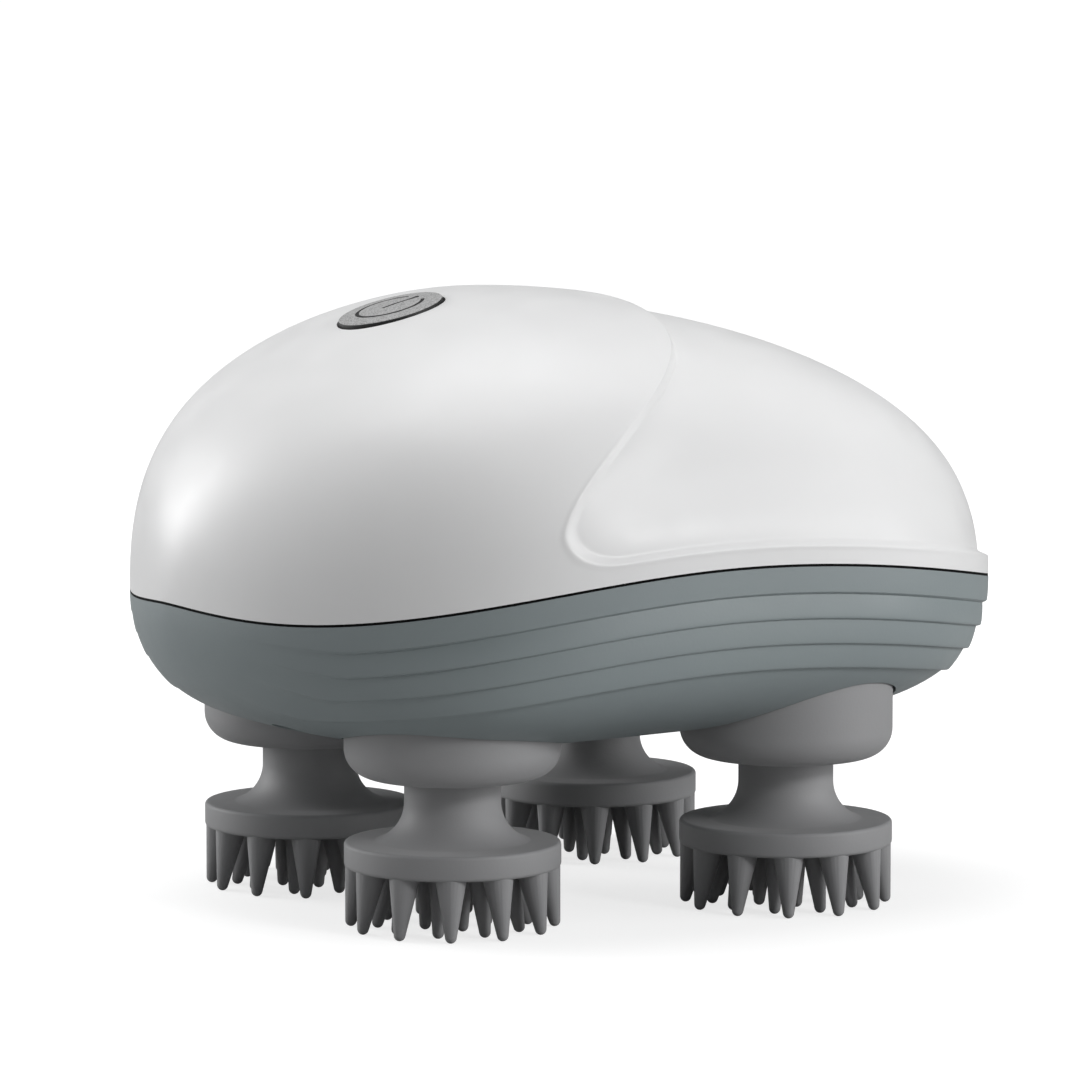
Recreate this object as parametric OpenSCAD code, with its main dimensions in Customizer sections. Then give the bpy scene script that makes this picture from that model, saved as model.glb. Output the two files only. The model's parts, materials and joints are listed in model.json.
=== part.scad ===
// Electric scalp massager: a palm-sized domed body that stands on four turning massage heads.
// X runs from the nose (-) to the tail (+), Y across the body, Z up. The head tips stand on z = 0.

/* [Body] */
// Length of the body, nose to tail
body_l = 118; // [116:1:126]
// Width of the body at its widest
body_w = 95; // [93:0.5:100]
// Height of the crown above the head tips
crown_z = 80.6; // [79.6:0.2:86]
// Height of the belly above the head tips
belly_z = 22; // [21.4:0.1:22.6]
// Distance of the widest section from the nose
widest_x = 59; // [56:0.5:62]
// Distance of the crown from the nose
crown_x = 49; // [46:0.5:52]
// Wall thickness of both shells
wall = 2.4; // [2:0.1:2.7]

/* [Parting line] */
// Height of the parting line at the nose
nose_z = 41.4; // [40.6:0.1:42.2]
// Height of the parting line at the tail
tail_z = 39.6; // [39:0.1:40.2]
// How far the parting line sweeps up along the flanks
part_arch = 8.3; // [7.6:0.1:9]
// How far the parting line turns up at the nose
nose_lift = 2.9; // [2.2:0.1:3.6]
// Thickness of the seal that shows as a dark line between the shells
seal_t = 0.55; // [0.4:0.05:0.8]
// Depth of the seal from the skin inwards
seal_depth = 1.7; // [1.3:0.1:1.9]

/* [Hood] */
// Distance from the nose to the foot of the hood's edge
hood_x = 33.2; // [31:0.2:35]
// How far the hood's edge leans back from its foot to the crown
hood_lean = 28.6; // [25:0.2:31]
// Depth of the step behind the hood
hood_step = 1.5; // [1:0.1:1.8]
// Width of the slope at the hood's edge
hood_fillet = 1.8; // [1.2:0.1:2.4]
// Height of the ledge that runs to the tail above the parting line
ledge_h = 2.4; // [2:0.1:3]

/* [Lapped bands] */
// Number of lapped bands round the lower shell
band_count = 4; // [3:1:4]
// Height of one band
band_pitch = 3.35; // [3:0.05:3.6]
// How far each band laps over the next
band_lap = 0.8; // [0.5:0.05:1]

/* [Massage heads] */
// Distance between the front and the rear heads
head_dx = 47.2; // [46.4:0.2:48]
// Distance between the two front heads
front_dy = 39.6; // [39:0.2:40.4]
// Distance between the two rear heads
rear_dy = 50; // [49:0.2:50.6]
// Offset of the heads' middle from the middle of the body
head_off = -4.2; // [-4.8:0.1:-3.6]
// Diameter of a head's disc
disc_d = 28; // [27:0.2:28.6]
// Height of the disc's underside, which is also the length of the teeth
tooth_l = 7.9; // [7:0.1:8.5]
// Thickness of the disc at its rim
disc_t = 3.3; // [2.8:0.1:3.6]
// Diameter of a head's neck
neck_d = 12.5; // [12:0.1:13]
// Number of outer teeth
outer_teeth = 12; // [10:1:13]
// Number of teeth in the middle ring
middle_teeth = 10; // [8:1:10]
// Number of teeth in the inner ring
inner_teeth = 5; // [4:1:5]
// Radius of the middle ring at the teeth's roots
middle_ring_r = 8; // [7.6:0.1:8.2]
// Radius of the inner ring at the teeth's roots
inner_ring_r = 3.7; // [3.4:0.1:4]
// Root diameter of an outer tooth
tooth_base_d = 4.2; // [3.6:0.1:4.4]
// Root diameter of a tooth of the middle or the inner ring
small_base_d = 3.3; // [3:0.1:3.5]
// Diameter of a tooth's rounded tip
tooth_tip_d = 1.4; // [1.2:0.1:1.6]

/* [Collars] */
// Height of a collar's flat underside
collar_z = 19.5; // [19:0.1:20]
// Radius of the collar's rounded lower edge
collar_round = 3.8; // [2.5:0.1:4.2]
// Wall of a collar
collar_wall = 1.9; // [1.6:0.1:2.2]
// Gap round a neck where it enters its collar
neck_gap = 0.65; // [0.4:0.05:0.9]

/* [Button] */
// Diameter of the power button
button_d = 14; // [13.4:0.2:15]
// Distance of the button from the nose
button_x = 33; // [32:0.2:34]
// Travel of the button
button_travel = 0.8; // [0.5:0.1:1]
// Gap round the button
button_gap = 0.3; // [0.2:0.05:0.5]
// How far the button's face stands above the skin
button_proud = 0.3; // [0.1:0.05:0.5]

/* [Gears] */
// Width of the head gears' teeth
gear_w = 4; // [3.6:0.1:4.2]
// Width of the idlers' teeth
idler_w = 3; // [2.6:0.1:3.2]
// Module of the reduction wheels
fine_module = 0.6; // [0.58:0.01:0.61]
// Width of a reduction wheel
wheel_w = 2.4; // [2:0.1:2.6]
// Play between the teeth of a pair, along the pitch circle
backlash = 0.3; // [0.2:0.02:0.4]

/* [Motor and battery] */
// Diameter of the motor
motor_d = 24.4; // [23.4:0.2:25]
// Length of the motor's case
motor_l = 12.3; // [11.5:0.1:12.6]
// Diameter of the battery cell
cell_d = 14.2; // [13.8:0.1:14.6]
// Length of the battery cell
cell_l = 50; // [48:0.5:51]
// Distance of the cell's axis from the tail
cell_in = 25.3; // [25:0.1:25.6]
// Height of the cell's axis
cell_z = 51; // [50.8:0.1:51.6]

/* [Charging port] */
// Width of the port cover
cover_w = 12.4; // [11.6:0.2:13]
// Height of the port cover
cover_h = 6; // [5.4:0.1:6.4]
// Thickness of the port cover
cover_t = 1.4; // [1.2:0.1:1.6]

/* [Hidden] */
$fn = 48;

// Clearances: seated pieces, running fits and faces that pass each other
seat_gap = 0.05;
run_gap = 0.06;
free_gap = 0.4;

// --- Body form ---------------------------------------------------------------------------------
// The body is lofted along t, from 0 at the nose to 1 at the tail. At each station the section is
// a superellipse above and another below the parting line; d is how far a skin lies inside.
nose_width_n = 3.38;
tail_width_n = 3.06;
width_root = 1.6;
nose_top_n = 1.8;
nose_top_root = 2.33;
tail_top_n = 1.8;
tail_top_root = 2.26;
belly_n = 5;
crown_n = 2.38;
// The belly's section is round at the nose, fullest over the front heads, softer to the tail
nose_keel_n = 2.05;
full_keel_n = 3.4;
tail_keel_n = 2.36;
full_keel_t = 0.25;
widest_t = widest_x / body_l;
crown_t = crown_x / body_l;
hood_t = hood_x / body_l;
lift_decay = 0.037;
lean_start = 0.19;
lean_span = 0.86;

function smooth(u) = let (q = min(1, max(0, u))) q * q * (3 - 2 * q);
function dome(u, n, root) = pow(max(0, 1 - pow(min(1, abs(u)), n)), 1 / root);
function soft_min(a, b, r) = min(a, b) - pow(max(r - abs(a - b), 0), 2) / (4 * r);

function part_z(t) = (nose_z - nose_lift) * (1 - t) + tail_z * t
  + part_arch * sin(180 * t) + nose_lift * exp(-t / lift_decay);
mid_z = part_z(0.5);

function half_w(t, d) = (body_w / 2 - d) * (t < widest_t
  ? dome((widest_t - t) / widest_t, nose_width_n, width_root)
  : dome((t - widest_t) / (1 - widest_t), tail_width_n, width_root));
function along(t, d) = -body_l / 2 + d + (body_l - 2 * d) * t;
function rise(t, d) =
  let (base = t < crown_t ? nose_z : tail_z,
       top = base + (crown_z - base) * (t < crown_t
         ? dome((crown_t - t) / crown_t, nose_top_n, nose_top_root)
         : dome((t - crown_t) / (1 - crown_t), tail_top_n, tail_top_root)))
  max(0, top - part_z(t)) * (1 - d / (crown_z - mid_z));
function drop(t, d) = (part_z(t) - belly_z) * (1 - d / (mid_z - belly_z)) * (t < widest_t
  ? dome((widest_t - t) / widest_t, belly_n, 2)
  : dome((t - widest_t) / (1 - widest_t), belly_n, 2));

function keel_n(t) = t < full_keel_t
  ? nose_keel_n + (full_keel_n - nose_keel_n) * smooth(t / full_keel_t)
  : full_keel_n + (tail_keel_n - full_keel_n) * smooth((t - full_keel_t) / (1 - full_keel_t));

// Heights of the shells at a place x, y, and the limits for a post of radius r that ends in them
function t_at(x, d) = (x + body_l / 2 - d) / (body_l - 2 * d);
function roof_z(x, y, d) = let (t = t_at(x, d))
  part_z(t) + rise(t, d) * dome(y / half_w(t, d), crown_n, crown_n);
function floor_z(x, y, d) = let (t = t_at(x, d))
  part_z(t) - drop(t, d) * dome(y / half_w(t, d), keel_n(t), keel_n(t));
post_sides = 45;
function under_roof(x, y, r, d) =
  min([for (a = [0 : post_sides : 359]) roof_z(x + r * cos(a), y + r * sin(a), d)]);
function above_floor(x, y, r, d) =
  max([for (a = [0 : post_sides : 359]) floor_z(x + r * cos(a), y + r * sin(a), d)]);

// Stations of the loft: close together at both ends and on the hood's edge
nose_stations = 16;
tail_stations = 22;
edge_t = hood_fillet / 0.72 / body_l;
stations = concat(
  [for (i = [0 : nose_stations]) hood_t * (1 - cos(90 * i / nose_stations))],
  [hood_t + edge_t / 2, hood_t + edge_t],
  [for (i = [0 : tail_stations])
    let (a = hood_t + 2 * edge_t) a + (1 - a) * sin(90 * i / tail_stations)]);
n_st = len(stations);

// The hood's edge leans back as it climbs, and the stations lean with it
function lean(t, h) = hood_lean / body_l * smooth((h - lean_start) / lean_span)
  * (t < hood_t ? smooth(t / hood_t) : smooth((1 - t) / (1 - hood_t)));
edge_slant = 0.72;
corner_r = 6;
function recess(t, z_up) = hood_step * smooth(
  soft_min((t - hood_t) * body_l * edge_slant, z_up - ledge_h, corner_r) / hood_fillet);

// Height fractions of the rows up one side: the rim, the ledge's two edges, the hood's lower
// corner, then even angles
crown_rows = 14;
function crown_h(t, j, rows) =
  let (up = max(rise(t, 0), 1),
       low = min(ledge_h / up, 0.2),
       high = min((ledge_h + hood_fillet) / up, 0.34),
       bend = min((ledge_h + hood_fillet + corner_r / 2) / up, 0.45),
       start = asin(pow(bend, crown_n / 2)))
  j == 0 ? 0 : j == 1 ? low : j == 2 ? high
    : pow(sin(start + (90 - start) * (j - 3) / (rows - 3)), 2 / crown_n);
function crown_point(t, j, rows, side, d) =
  let (h = crown_h(t, j, rows),
       s = t + lean(t, h),
       e = d + recess(t, rise(s, 0) * h))
  [along(s, e), side * half_w(s, e) * dome(h, crown_n, crown_n),
   part_z(s) + seal_t * (1 - h) + rise(s, e) * h];
function crown_ring(t, rows, d) = concat(
  [for (j = [0 : rows]) crown_point(t, j, rows, -1, d)],
  [for (j = [rows - 1 : -1 : 0]) crown_point(t, j, rows, 1, d)]);

// Rows down one side of the lower shell: two at each lap, then even angles to the keel
lap_drop = 0.3;
belly_rows = 6;
keel_rows = 2 * band_count + belly_rows;
fade_t = 0.16;
function pitch_at(t) = min(band_pitch, 0.88 * drop(t, 0) / band_count);
function keel_h(t, j) =
  let (deep = max(drop(t, 0), 0.5),
       k = floor((j + 1) / 2),
       depth = k * pitch_at(t) + (j % 2 == 0 && j > 0 ? min(lap_drop, 0.1 * pitch_at(t)) : 0),
       last = (band_count * pitch_at(t) + min(lap_drop, 0.1 * pitch_at(t))) / deep,
       start = asin(pow(last, keel_n(t) / 2)))
  j <= 2 * band_count ? depth / deep
    : pow(sin(start + (90 - start) * (j - 2 * band_count) / belly_rows), 2 / keel_n(t));
function lap_in(t, j) = j == 0 || j % 2 == 1 && j < 2 * band_count ? 0
  : band_lap * smooth(t / fade_t);
function keel_point(t, h, side, d) =
  [along(t, d), side * half_w(t, d) * dome(h, keel_n(t), keel_n(t)), part_z(t) - drop(t, d) * h];
function keel_ring(t) = concat(
  [for (j = [0 : keel_rows]) keel_point(t, keel_h(t, j), -1, lap_in(t, j))],
  [for (j = [keel_rows - 1 : -1 : 0]) keel_point(t, keel_h(t, j), 1, lap_in(t, j))]);
function inner_keel_ring(t, rows, d) = concat(
  [for (j = [0 : rows]) keel_point(t, pow(sin(90 * j / rows), 2 / keel_n(t)), -1, d)],
  [for (j = [rows - 1 : -1 : 0]) keel_point(t, pow(sin(90 * j / rows), 2 / keel_n(t)), 1, d)]);

// Index of a point in a skin whose first and last stations are single points
function index(base, ring, i, j) = i == 0 ? base
  : i == n_st - 1 ? base + 1 + (n_st - 2) * ring : base + 1 + (i - 1) * ring + j;
function turned(f, flip) = flip ? [f[2], f[1], f[0]] : f;
function skin(base, ring, flip) = [
  for (i = [0 : n_st - 2], j = [0 : ring - 2])
    let (a = index(base, ring, i, j), b = index(base, ring, i + 1, j),
         c = index(base, ring, i + 1, j + 1), d = index(base, ring, i, j + 1))
    for (f = i == 0 ? [[a, b, c]] : i == n_st - 2 ? [[a, b, d]] : [[a, b, c], [a, c, d]])
      turned(f, flip)];
function rim(ring_a, j_a, base_b, ring_b, j_b, flip) = [
  for (i = [0 : n_st - 2])
    let (a = index(0, ring_a, i, j_a), b = index(0, ring_a, i + 1, j_a),
         c = index(base_b, ring_b, i + 1, j_b), d = index(base_b, ring_b, i, j_b))
    for (f = [[a, b, c], [a, c, d]]) turned(f, flip)];
function skin_points(rings) = [
  for (i = [0 : n_st - 1]) each (i == 0 || i == n_st - 1 ? [rings[i][0]] : rings[i])];

// A closed shell from an outer and an inner list of rings that share their stations
module shell(outer, inner, flip) {
  outer_ring = len(outer[1]);
  inner_ring = len(inner[1]);
  base = 2 + (n_st - 2) * outer_ring;
  polyhedron(
    points = concat(skin_points(outer), skin_points(inner)),
    faces = concat(
      skin(0, outer_ring, flip),
      skin(base, inner_ring, !flip),
      rim(outer_ring, 0, base, inner_ring, 0, !flip),
      rim(outer_ring, outer_ring - 1, base, inner_ring, inner_ring - 1, flip)));
}

// --- Drive line places ---------------------------------------------------------------------------
// The four heads stand on one circle, and the drive axle in its middle
front_at = head_off - head_dx / 2;
rear_at = head_off + head_dx / 2;
drive_x = head_off + (rear_dy * rear_dy - front_dy * front_dy) / 8 / head_dx;
head_circle_r = sqrt(pow(rear_at - drive_x, 2) + pow(rear_dy / 2, 2));
function head_x(fx) = fx < 0 ? front_at : rear_at;
function head_y(fx, fy) = fy / 2 * (fx < 0 ? front_dy : rear_dy);
// Direction of a head from the drive axle
function head_a(fx, fy) = atan2(head_y(fx, fy), head_x(fx) - drive_x);
// Tooth counts: the drive gear's two rings, the idlers, the two kinds of head gear, the reductions
drive_z1 = 40;
drive_z2 = 20;
idler_z = 16;
head_z1 = 24;
head_z2 = 12;
wheel_z = 54;
pinion_z = 10;
coarse_module = 2 * head_circle_r / (drive_z1 + head_z1);
idler_r = coarse_module * (drive_z2 + idler_z) / 2;
fine_r = fine_module * (wheel_z + pinion_z) / 2;

collar_top = 34.4;
base_z = collar_top + 0.1;
plate_t = 2;
flange_t = 0.6;
gear_z = base_z + plate_t + flange_t + 0.3;
upper_gear_z = gear_z + gear_w + 0.6;
cover_z = upper_gear_z + idler_w + 0.8;
cover_plate_t = 1.8;
wheel_b_z = cover_z + cover_plate_t + 0.8;
wheel_a_z = wheel_b_z + wheel_w + 1.4;
bracket_z = wheel_a_z + wheel_w + 1.2;
bracket_t = 1.6;
motor_z = bracket_z + bracket_t;

shaft_r = 2.5;
hex_r = 4;
socket_gap = 0.1;
neck_top = 25;
spindle_low = tooth_l + disc_t + 2.4;
thrust_r = 5;
diaphragm_z = 26.6;
diaphragm_t = 1.5;
seal_r = 7.4;
seal_h = 2.6;
bush_r = 4.2;
axle_r = 2;
pin_r = 1;
post_r = 3;
screw_r = 1.25;
tap_r = 1.1;
small_tap_r = 0.9;
small_screw_r = 1;
cover_post_x = 24.8;
cover_post_y = 26;

module at_drive() { translate([drive_x, 0, 0]) children(); }
module at_head(fx, fy) { translate([head_x(fx), head_y(fx, fy), 0]) children(); }
module at_heads() { for (fx = [-1, 1], fy = [-1, 1]) at_head(fx, fy) children(); }
module at_gear_posts() {
  for (s = [-1, 1]) {
    translate([drive_x + s * cover_post_x, 0, 0]) children();
    translate([drive_x, s * cover_post_y, 0]) children();
  }
}

// A machine screw standing on z = 0, head down; the head's recess is a cross
module screw(r, length, head_r, head_h) {
  difference() {
    union() {
      cylinder(r = head_r, h = head_h);
      translate([0, 0, head_h]) cylinder(r = r, h = length);
    }
    for (a = [0, 90])
      rotate(a) translate([-head_r * 0.6, -head_r * 0.13, -1])
        cube([head_r * 1.2, head_r * 0.26, 1 + head_h / 2]);
  }
}

// --- Shells ----------------------------------------------------------------------------------------
tail_post_in = 14.4;
tail_post_y = 17;
nose_post_in = 14;
nose_post_y = 8;
tail_post_x = body_l / 2 - tail_post_in;
nose_post_x = -body_l / 2 + nose_post_in;
post_hole_depth = 8;
post_wall = 2;
housing_head_r = 2.3;
nose_split_z = part_z(t_at(nose_post_x, 0));
tail_split_z = part_z(t_at(tail_post_x, 0));

// The button's place on the skin, and its tilt to lie flush with it
button_at = -body_l / 2 + button_x;
button_z = roof_z(button_at, 0, 0);
tilt_step = 4;
button_tilt = atan2(roof_z(button_at + tilt_step, 0, 0) - roof_z(button_at - tilt_step, 0, 0),
  2 * tilt_step);
module at_button() { translate([button_at, 0, button_z]) rotate([0, -button_tilt, 0]) children(); }
flange_r = button_d / 2 + 1.2;
button_flange_t = 1;
flange_z = -wall - 2.6;
guide_z = flange_z + button_flange_t + 0.3;
guide_r = button_d / 2 + button_gap + 1.8;
button_post_y = 13;
board_z = flange_z - 6.6;
board_t = 1.2;
button_post_r = 2.2;

module upper_shell() color([0.93, 0.93, 0.94]) {
  difference() {
    union() {
      shell([for (t = stations) crown_ring(t, crown_rows, 0)],
        [for (t = stations) crown_ring(t, crown_rows - 4, wall)], true);
      for (s = [-1, 1]) {
        translate([nose_post_x, s * nose_post_y, nose_split_z + seal_t])
          cylinder(r = post_r, h = under_roof(nose_post_x, nose_post_y, post_r, wall / 2)
            - nose_split_z - seal_t);
        translate([tail_post_x, s * tail_post_y, tail_split_z + seal_t])
          cylinder(r = post_r, h = under_roof(tail_post_x, tail_post_y, post_r, hood_step + wall / 2)
            - tail_split_z - seal_t);
      }
      at_button() {
        translate([0, 0, guide_z]) cylinder(r = guide_r, h = -guide_z - wall * 0.6);
        for (s = [-1, 1])
          translate([0, s * button_post_y, board_z])
            cylinder(r = button_post_r, h = -board_z - wall * 0.75);
      }
    }
    at_button() {
      translate([0, 0, -wall * 2]) cylinder(r = button_d / 2 + button_gap, h = wall * 4);
      for (s = [-1, 1])
        translate([0, s * button_post_y, board_z - 1]) cylinder(r = small_tap_r, h = 5);
    }
    for (s = [-1, 1]) {
      translate([nose_post_x, s * nose_post_y, nose_split_z - 1])
        cylinder(r = tap_r, h = post_hole_depth + 1 + seal_t);
      translate([tail_post_x, s * tail_post_y, tail_split_z - 1])
        cylinder(r = tap_r, h = post_hole_depth + 1 + seal_t);
    }
  }
}

// The tail pocket, the port behind it and the wall that carries both
port_z = 34.4;
pocket_x = body_l / 2 - 4.6;
port_wall_t = 2;
socket_w = 8.94;
socket_h = 3.26;
socket_l = 7.35;
board_top_z = port_z - socket_h / 2;
charge_board_t = 1.4;
charge_post_in = 17;
charge_post_x = pocket_x - charge_post_in;
port_wall_w = cover_w + 2.8;
port_wall_low = floor_z(pocket_x, port_wall_w / 2, wall / 2);
// The cover's pocket and its hinge, whose pins turn in the pocket's side walls
pocket_gap = 0.4;
cover_corner = 1.4;
hinge_r = cover_t / 2;
hinge_pin_r = 0.45;
hinge_pin_l = 0.8;
hinge_x = pocket_x + free_gap + hinge_r;
hinge_z = port_z - cover_h / 2 + hinge_r;

// A flat slot with round ends, running along X
module slot_x(w, h, length) {
  rotate([90, 0, 90]) linear_extrude(length) {
    square([w - h, h], center = true);
    for (s = [-1, 1]) translate([s * (w - h) / 2, 0]) circle(d = h);
  }
}

// A plate with rounded corners, running along X
module panel_x(w, h, r, length) {
  rotate([90, 0, 90]) linear_extrude(length) {
    square([w - 2 * r, h], center = true);
    square([w, h - 2 * r], center = true);
    for (sx = [-1, 1], sy = [-1, 1])
      translate([sx * (w / 2 - r), sy * (h / 2 - r)]) circle(r = r);
  }
}

gear_post_r = 3.2;
shell_post_top = base_z;
cell_at = body_l / 2 - cell_in;
cradle_x = cell_at + 9;
cradle_y = 10.2;
cradle_t = 1.7;
cradle_lug_t = 1.6;
cradle_floor_z = cell_z - cell_d / 2 - cradle_t;

module lower_shell() color([0.5, 0.54, 0.55]) {
  difference() {
    union() {
      shell([for (t = stations) keel_ring(t)],
        [for (t = stations) inner_keel_ring(t, 8, wall)], false);
      for (s = [-1, 1]) {
        shell_post(nose_post_x, s * nose_post_y, housing_head_r + 1.2, nose_split_z - 0.1);
        shell_post(tail_post_x, s * tail_post_y, housing_head_r + 1.2, tail_split_z - 0.1);
        shell_post(drive_x + s * cover_post_x, 0, gear_post_r, shell_post_top);
        shell_post(drive_x, s * cover_post_y, gear_post_r, shell_post_top);
        shell_post(cradle_x, s * cradle_y, post_r, cradle_floor_z);
      }
      translate([pocket_x - port_wall_t, -port_wall_w / 2, port_wall_low])
        cube([port_wall_t, port_wall_w, port_z + cover_h / 2 + 1 - port_wall_low]);
      shell_post(charge_post_x, 0, post_r, board_top_z - charge_board_t);
    }
    at_heads() translate([0, 0, -1]) cylinder(r = disc_d / 2 + 0.1, h = gear_z - 0.4 + 1);
    for (s = [-1, 1]) {
      housing_hole(nose_post_x, s * nose_post_y, nose_split_z);
      housing_hole(tail_post_x, s * tail_post_y, tail_split_z);
      translate([cradle_x, s * cradle_y, cradle_floor_z - 6]) cylinder(r = small_tap_r, h = 7);
      translate([hinge_x, s * (cover_w / 2 + pocket_gap), hinge_z]) rotate([-90 * s, 0, 0])
        translate([0, 0, -1]) cylinder(r = hinge_pin_r + run_gap, h = hinge_pin_l + 1.2);
    }
    at_gear_posts() translate([0, 0, shell_post_top - 6]) cylinder(r = tap_r, h = 7);
    translate([charge_post_x, 0, board_top_z - charge_board_t - 4])
      cylinder(r = small_tap_r, h = 5);
    translate([pocket_x, 0, port_z])
      panel_x(cover_w + 2 * pocket_gap, cover_h + 2 * pocket_gap, cover_corner + pocket_gap, 20);
    translate([pocket_x - 3, 0, port_z]) slot_x(socket_w + 0.2, socket_h + 0.2, 6);
  }
}
// Clearance for a housing screw, and the deep recess that its head sits in
module housing_hole(x, y, split) {
  translate([x, y, -1]) cylinder(r = screw_r + 0.15, h = crown_z);
  translate([x, y, -1]) cylinder(r = housing_head_r + 0.2, h = split - post_wall + 1);
}
// A post that grows out of the lower shell's wall
module shell_post(x, y, r, top) {
  low = above_floor(x, y, r, (wall + band_lap) / 2);
  translate([x, y, low]) cylinder(r = r, h = top - low);
}

module parting_seal() color([0.05, 0.05, 0.05]) {
  gap = 0.02;
  loop = concat([for (i = [0 : n_st - 1]) [i, -1]], [for (i = [n_st - 2 : -1 : 1]) [i, 1]]);
  n = len(loop);
  points = [for (p = loop)
    let (t = stations[p[0]])
    for (q = [[0, gap], [0, seal_t - gap], [seal_depth, seal_t - gap], [seal_depth, gap]])
      [along(t, q[0]), p[1] * half_w(t, q[0]), part_z(t) + q[1]]];
  faces = [for (i = [0 : n - 1], k = [0 : 3])
    let (a = 4 * i + k, b = 4 * i + (k + 1) % 4, m = (i + 1) % n,
         c = 4 * m + (k + 1) % 4, d = 4 * m + k)
    for (f = [[a, b, c], [a, c, d]]) f];
  polyhedron(points = points, faces = faces);
}

// --- Button --------------------------------------------------------------------------------------
button_edge = 0.5;
button_dome_h = 0.3;
button_rim_z = button_proud - button_dome_h;
dome_base_r = button_d / 2 - button_edge;
button_dome_r = (dome_base_r * dome_base_r + button_dome_h * button_dome_h) / (2 * button_dome_h);
skirt_t = 1.6;
stem_r = 1.6;
plunger_r = 1.7;
stem_low = flange_z - 1.2;
switch_top = stem_low - 1.2;
switch_w = 6.2;
switch_h = 3.2;
ring_r = 0.5;
ring_z = -1.9;
ring_at = button_d / 2 + button_gap - run_gap - ring_r;

module power_button() color([0.65, 0.65, 0.66]) at_button() rotate_extrude() {
  r = button_d / 2;
  difference() {
    union() {
      translate([0, flange_z]) square([r, button_rim_z - flange_z - button_edge]);
      translate([0, flange_z]) square([dome_base_r, button_rim_z - flange_z]);
      translate([dome_base_r, button_rim_z - button_edge]) circle(button_edge);
      intersection() {
        translate([0, button_proud - button_dome_r]) circle(button_dome_r, $fn = 360);
        translate([0, button_rim_z - 0.1]) square([dome_base_r, 1]);
      }
      translate([0, flange_z]) square([flange_r, button_flange_t]);
      translate([0, stem_low]) square([stem_r, 2]);
    }
    translate([stem_r, flange_z - 3]) square([r - stem_r - skirt_t, 3 + wall]);
    translate([ring_at, ring_z]) circle(ring_r + seat_gap);
  }
}

// Sealing ring in the groove round the button
module button_seal() color([0.12, 0.12, 0.13]) at_button()
  translate([0, 0, ring_z]) rotate_extrude() translate([ring_at, 0]) circle(ring_r);

module switch_plunger() color([0.1, 0.1, 0.1]) at_button()
  translate([0, 0, switch_top - 1]) cylinder(r = plunger_r, h = stem_low - switch_top + 1);

module tact_switch() color([0.75, 0.75, 0.78]) at_button() {
  difference() {
    translate([-switch_w / 2, -switch_w / 2, switch_top - switch_h])
      cube([switch_w, switch_w, switch_h]);
    translate([0, 0, switch_top - 1 - button_travel - 0.2]) cylinder(r = plunger_r + 0.1, h = 4);
  }
}

button_board_w = 13;
board_margin = 2.6;
module button_board() color([0.1, 0.35, 0.2]) at_button() {
  difference() {
    translate([-button_board_w / 2, -button_post_y - board_margin, board_z - board_t])
      cube([button_board_w, 2 * (button_post_y + board_margin), board_t]);
    for (s = [-1, 1])
      translate([0, s * button_post_y, board_z - 2 * board_t]) cylinder(r = 1.2, h = 4);
  }
  for (fx = [-1, 1], fy = [-1, 1])
    translate([fx * 4.6 - 0.8, fy * 7.4 - 0.5, board_z]) cube([1.6, 1, 0.6]);
}

module button_screws() color([0.6, 0.6, 0.62]) at_button()
  for (s = [-1, 1])
    translate([0, s * button_post_y, board_z - board_t - 1.2]) screw(0.85, 4.6, 1.7, 1.2);

// --- Massage heads -------------------------------------------------------------------------------
flare_r = 5.2;
rim_round = 0.5;
tooth_sink = 0.6;
// How far a tip stands out from its root: the outer teeth stand upright on their outer side
outer_lean = (tooth_base_d - tooth_tip_d) / 2 - 0.05;
middle_lean = 1.9;
inner_lean = 0.7;
middle_phase = 14;
inner_phase = 42;
// Depth by which a rounded tip is cut flat where it stands on z = 0
tip_flat = 0.15;

// One tooth: a slim cone with a rounded tip, whose tip stands out from its root by out
module tooth(r, base_d, out) {
  tilt = atan2(out, tooth_l);
  tip_r = tooth_tip_d / 2;
  tip_at = (tooth_l + tooth_sink - tip_r + tip_flat) / cos(tilt);
  taper = atan2(base_d / 2 - tip_r, tip_at);
  difference() {
    translate([r - out * tooth_sink / tooth_l, 0, tooth_l + tooth_sink]) rotate([0, 180 - tilt, 0])
      rotate_extrude($fn = 24) intersection() {
        union() {
          polygon([[0, 0], [base_d / 2, 0],
            [tip_r * cos(taper), tip_at + tip_r * sin(taper)], [0, tip_at]]);
          translate([0, tip_at]) circle(tip_r);
        }
        square([base_d, tip_at + tooth_tip_d]);
      }
    translate([0, 0, -5]) cube([2 * disc_d, 2 * disc_d, 10], center = true);
  }
}
// A ring of teeth round the head's axis
module tooth_ring(count, phase, r, base_d, out) {
  for (k = [0 : count - 1]) rotate(360 * k / count + phase) tooth(r, base_d, out);
}

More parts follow.
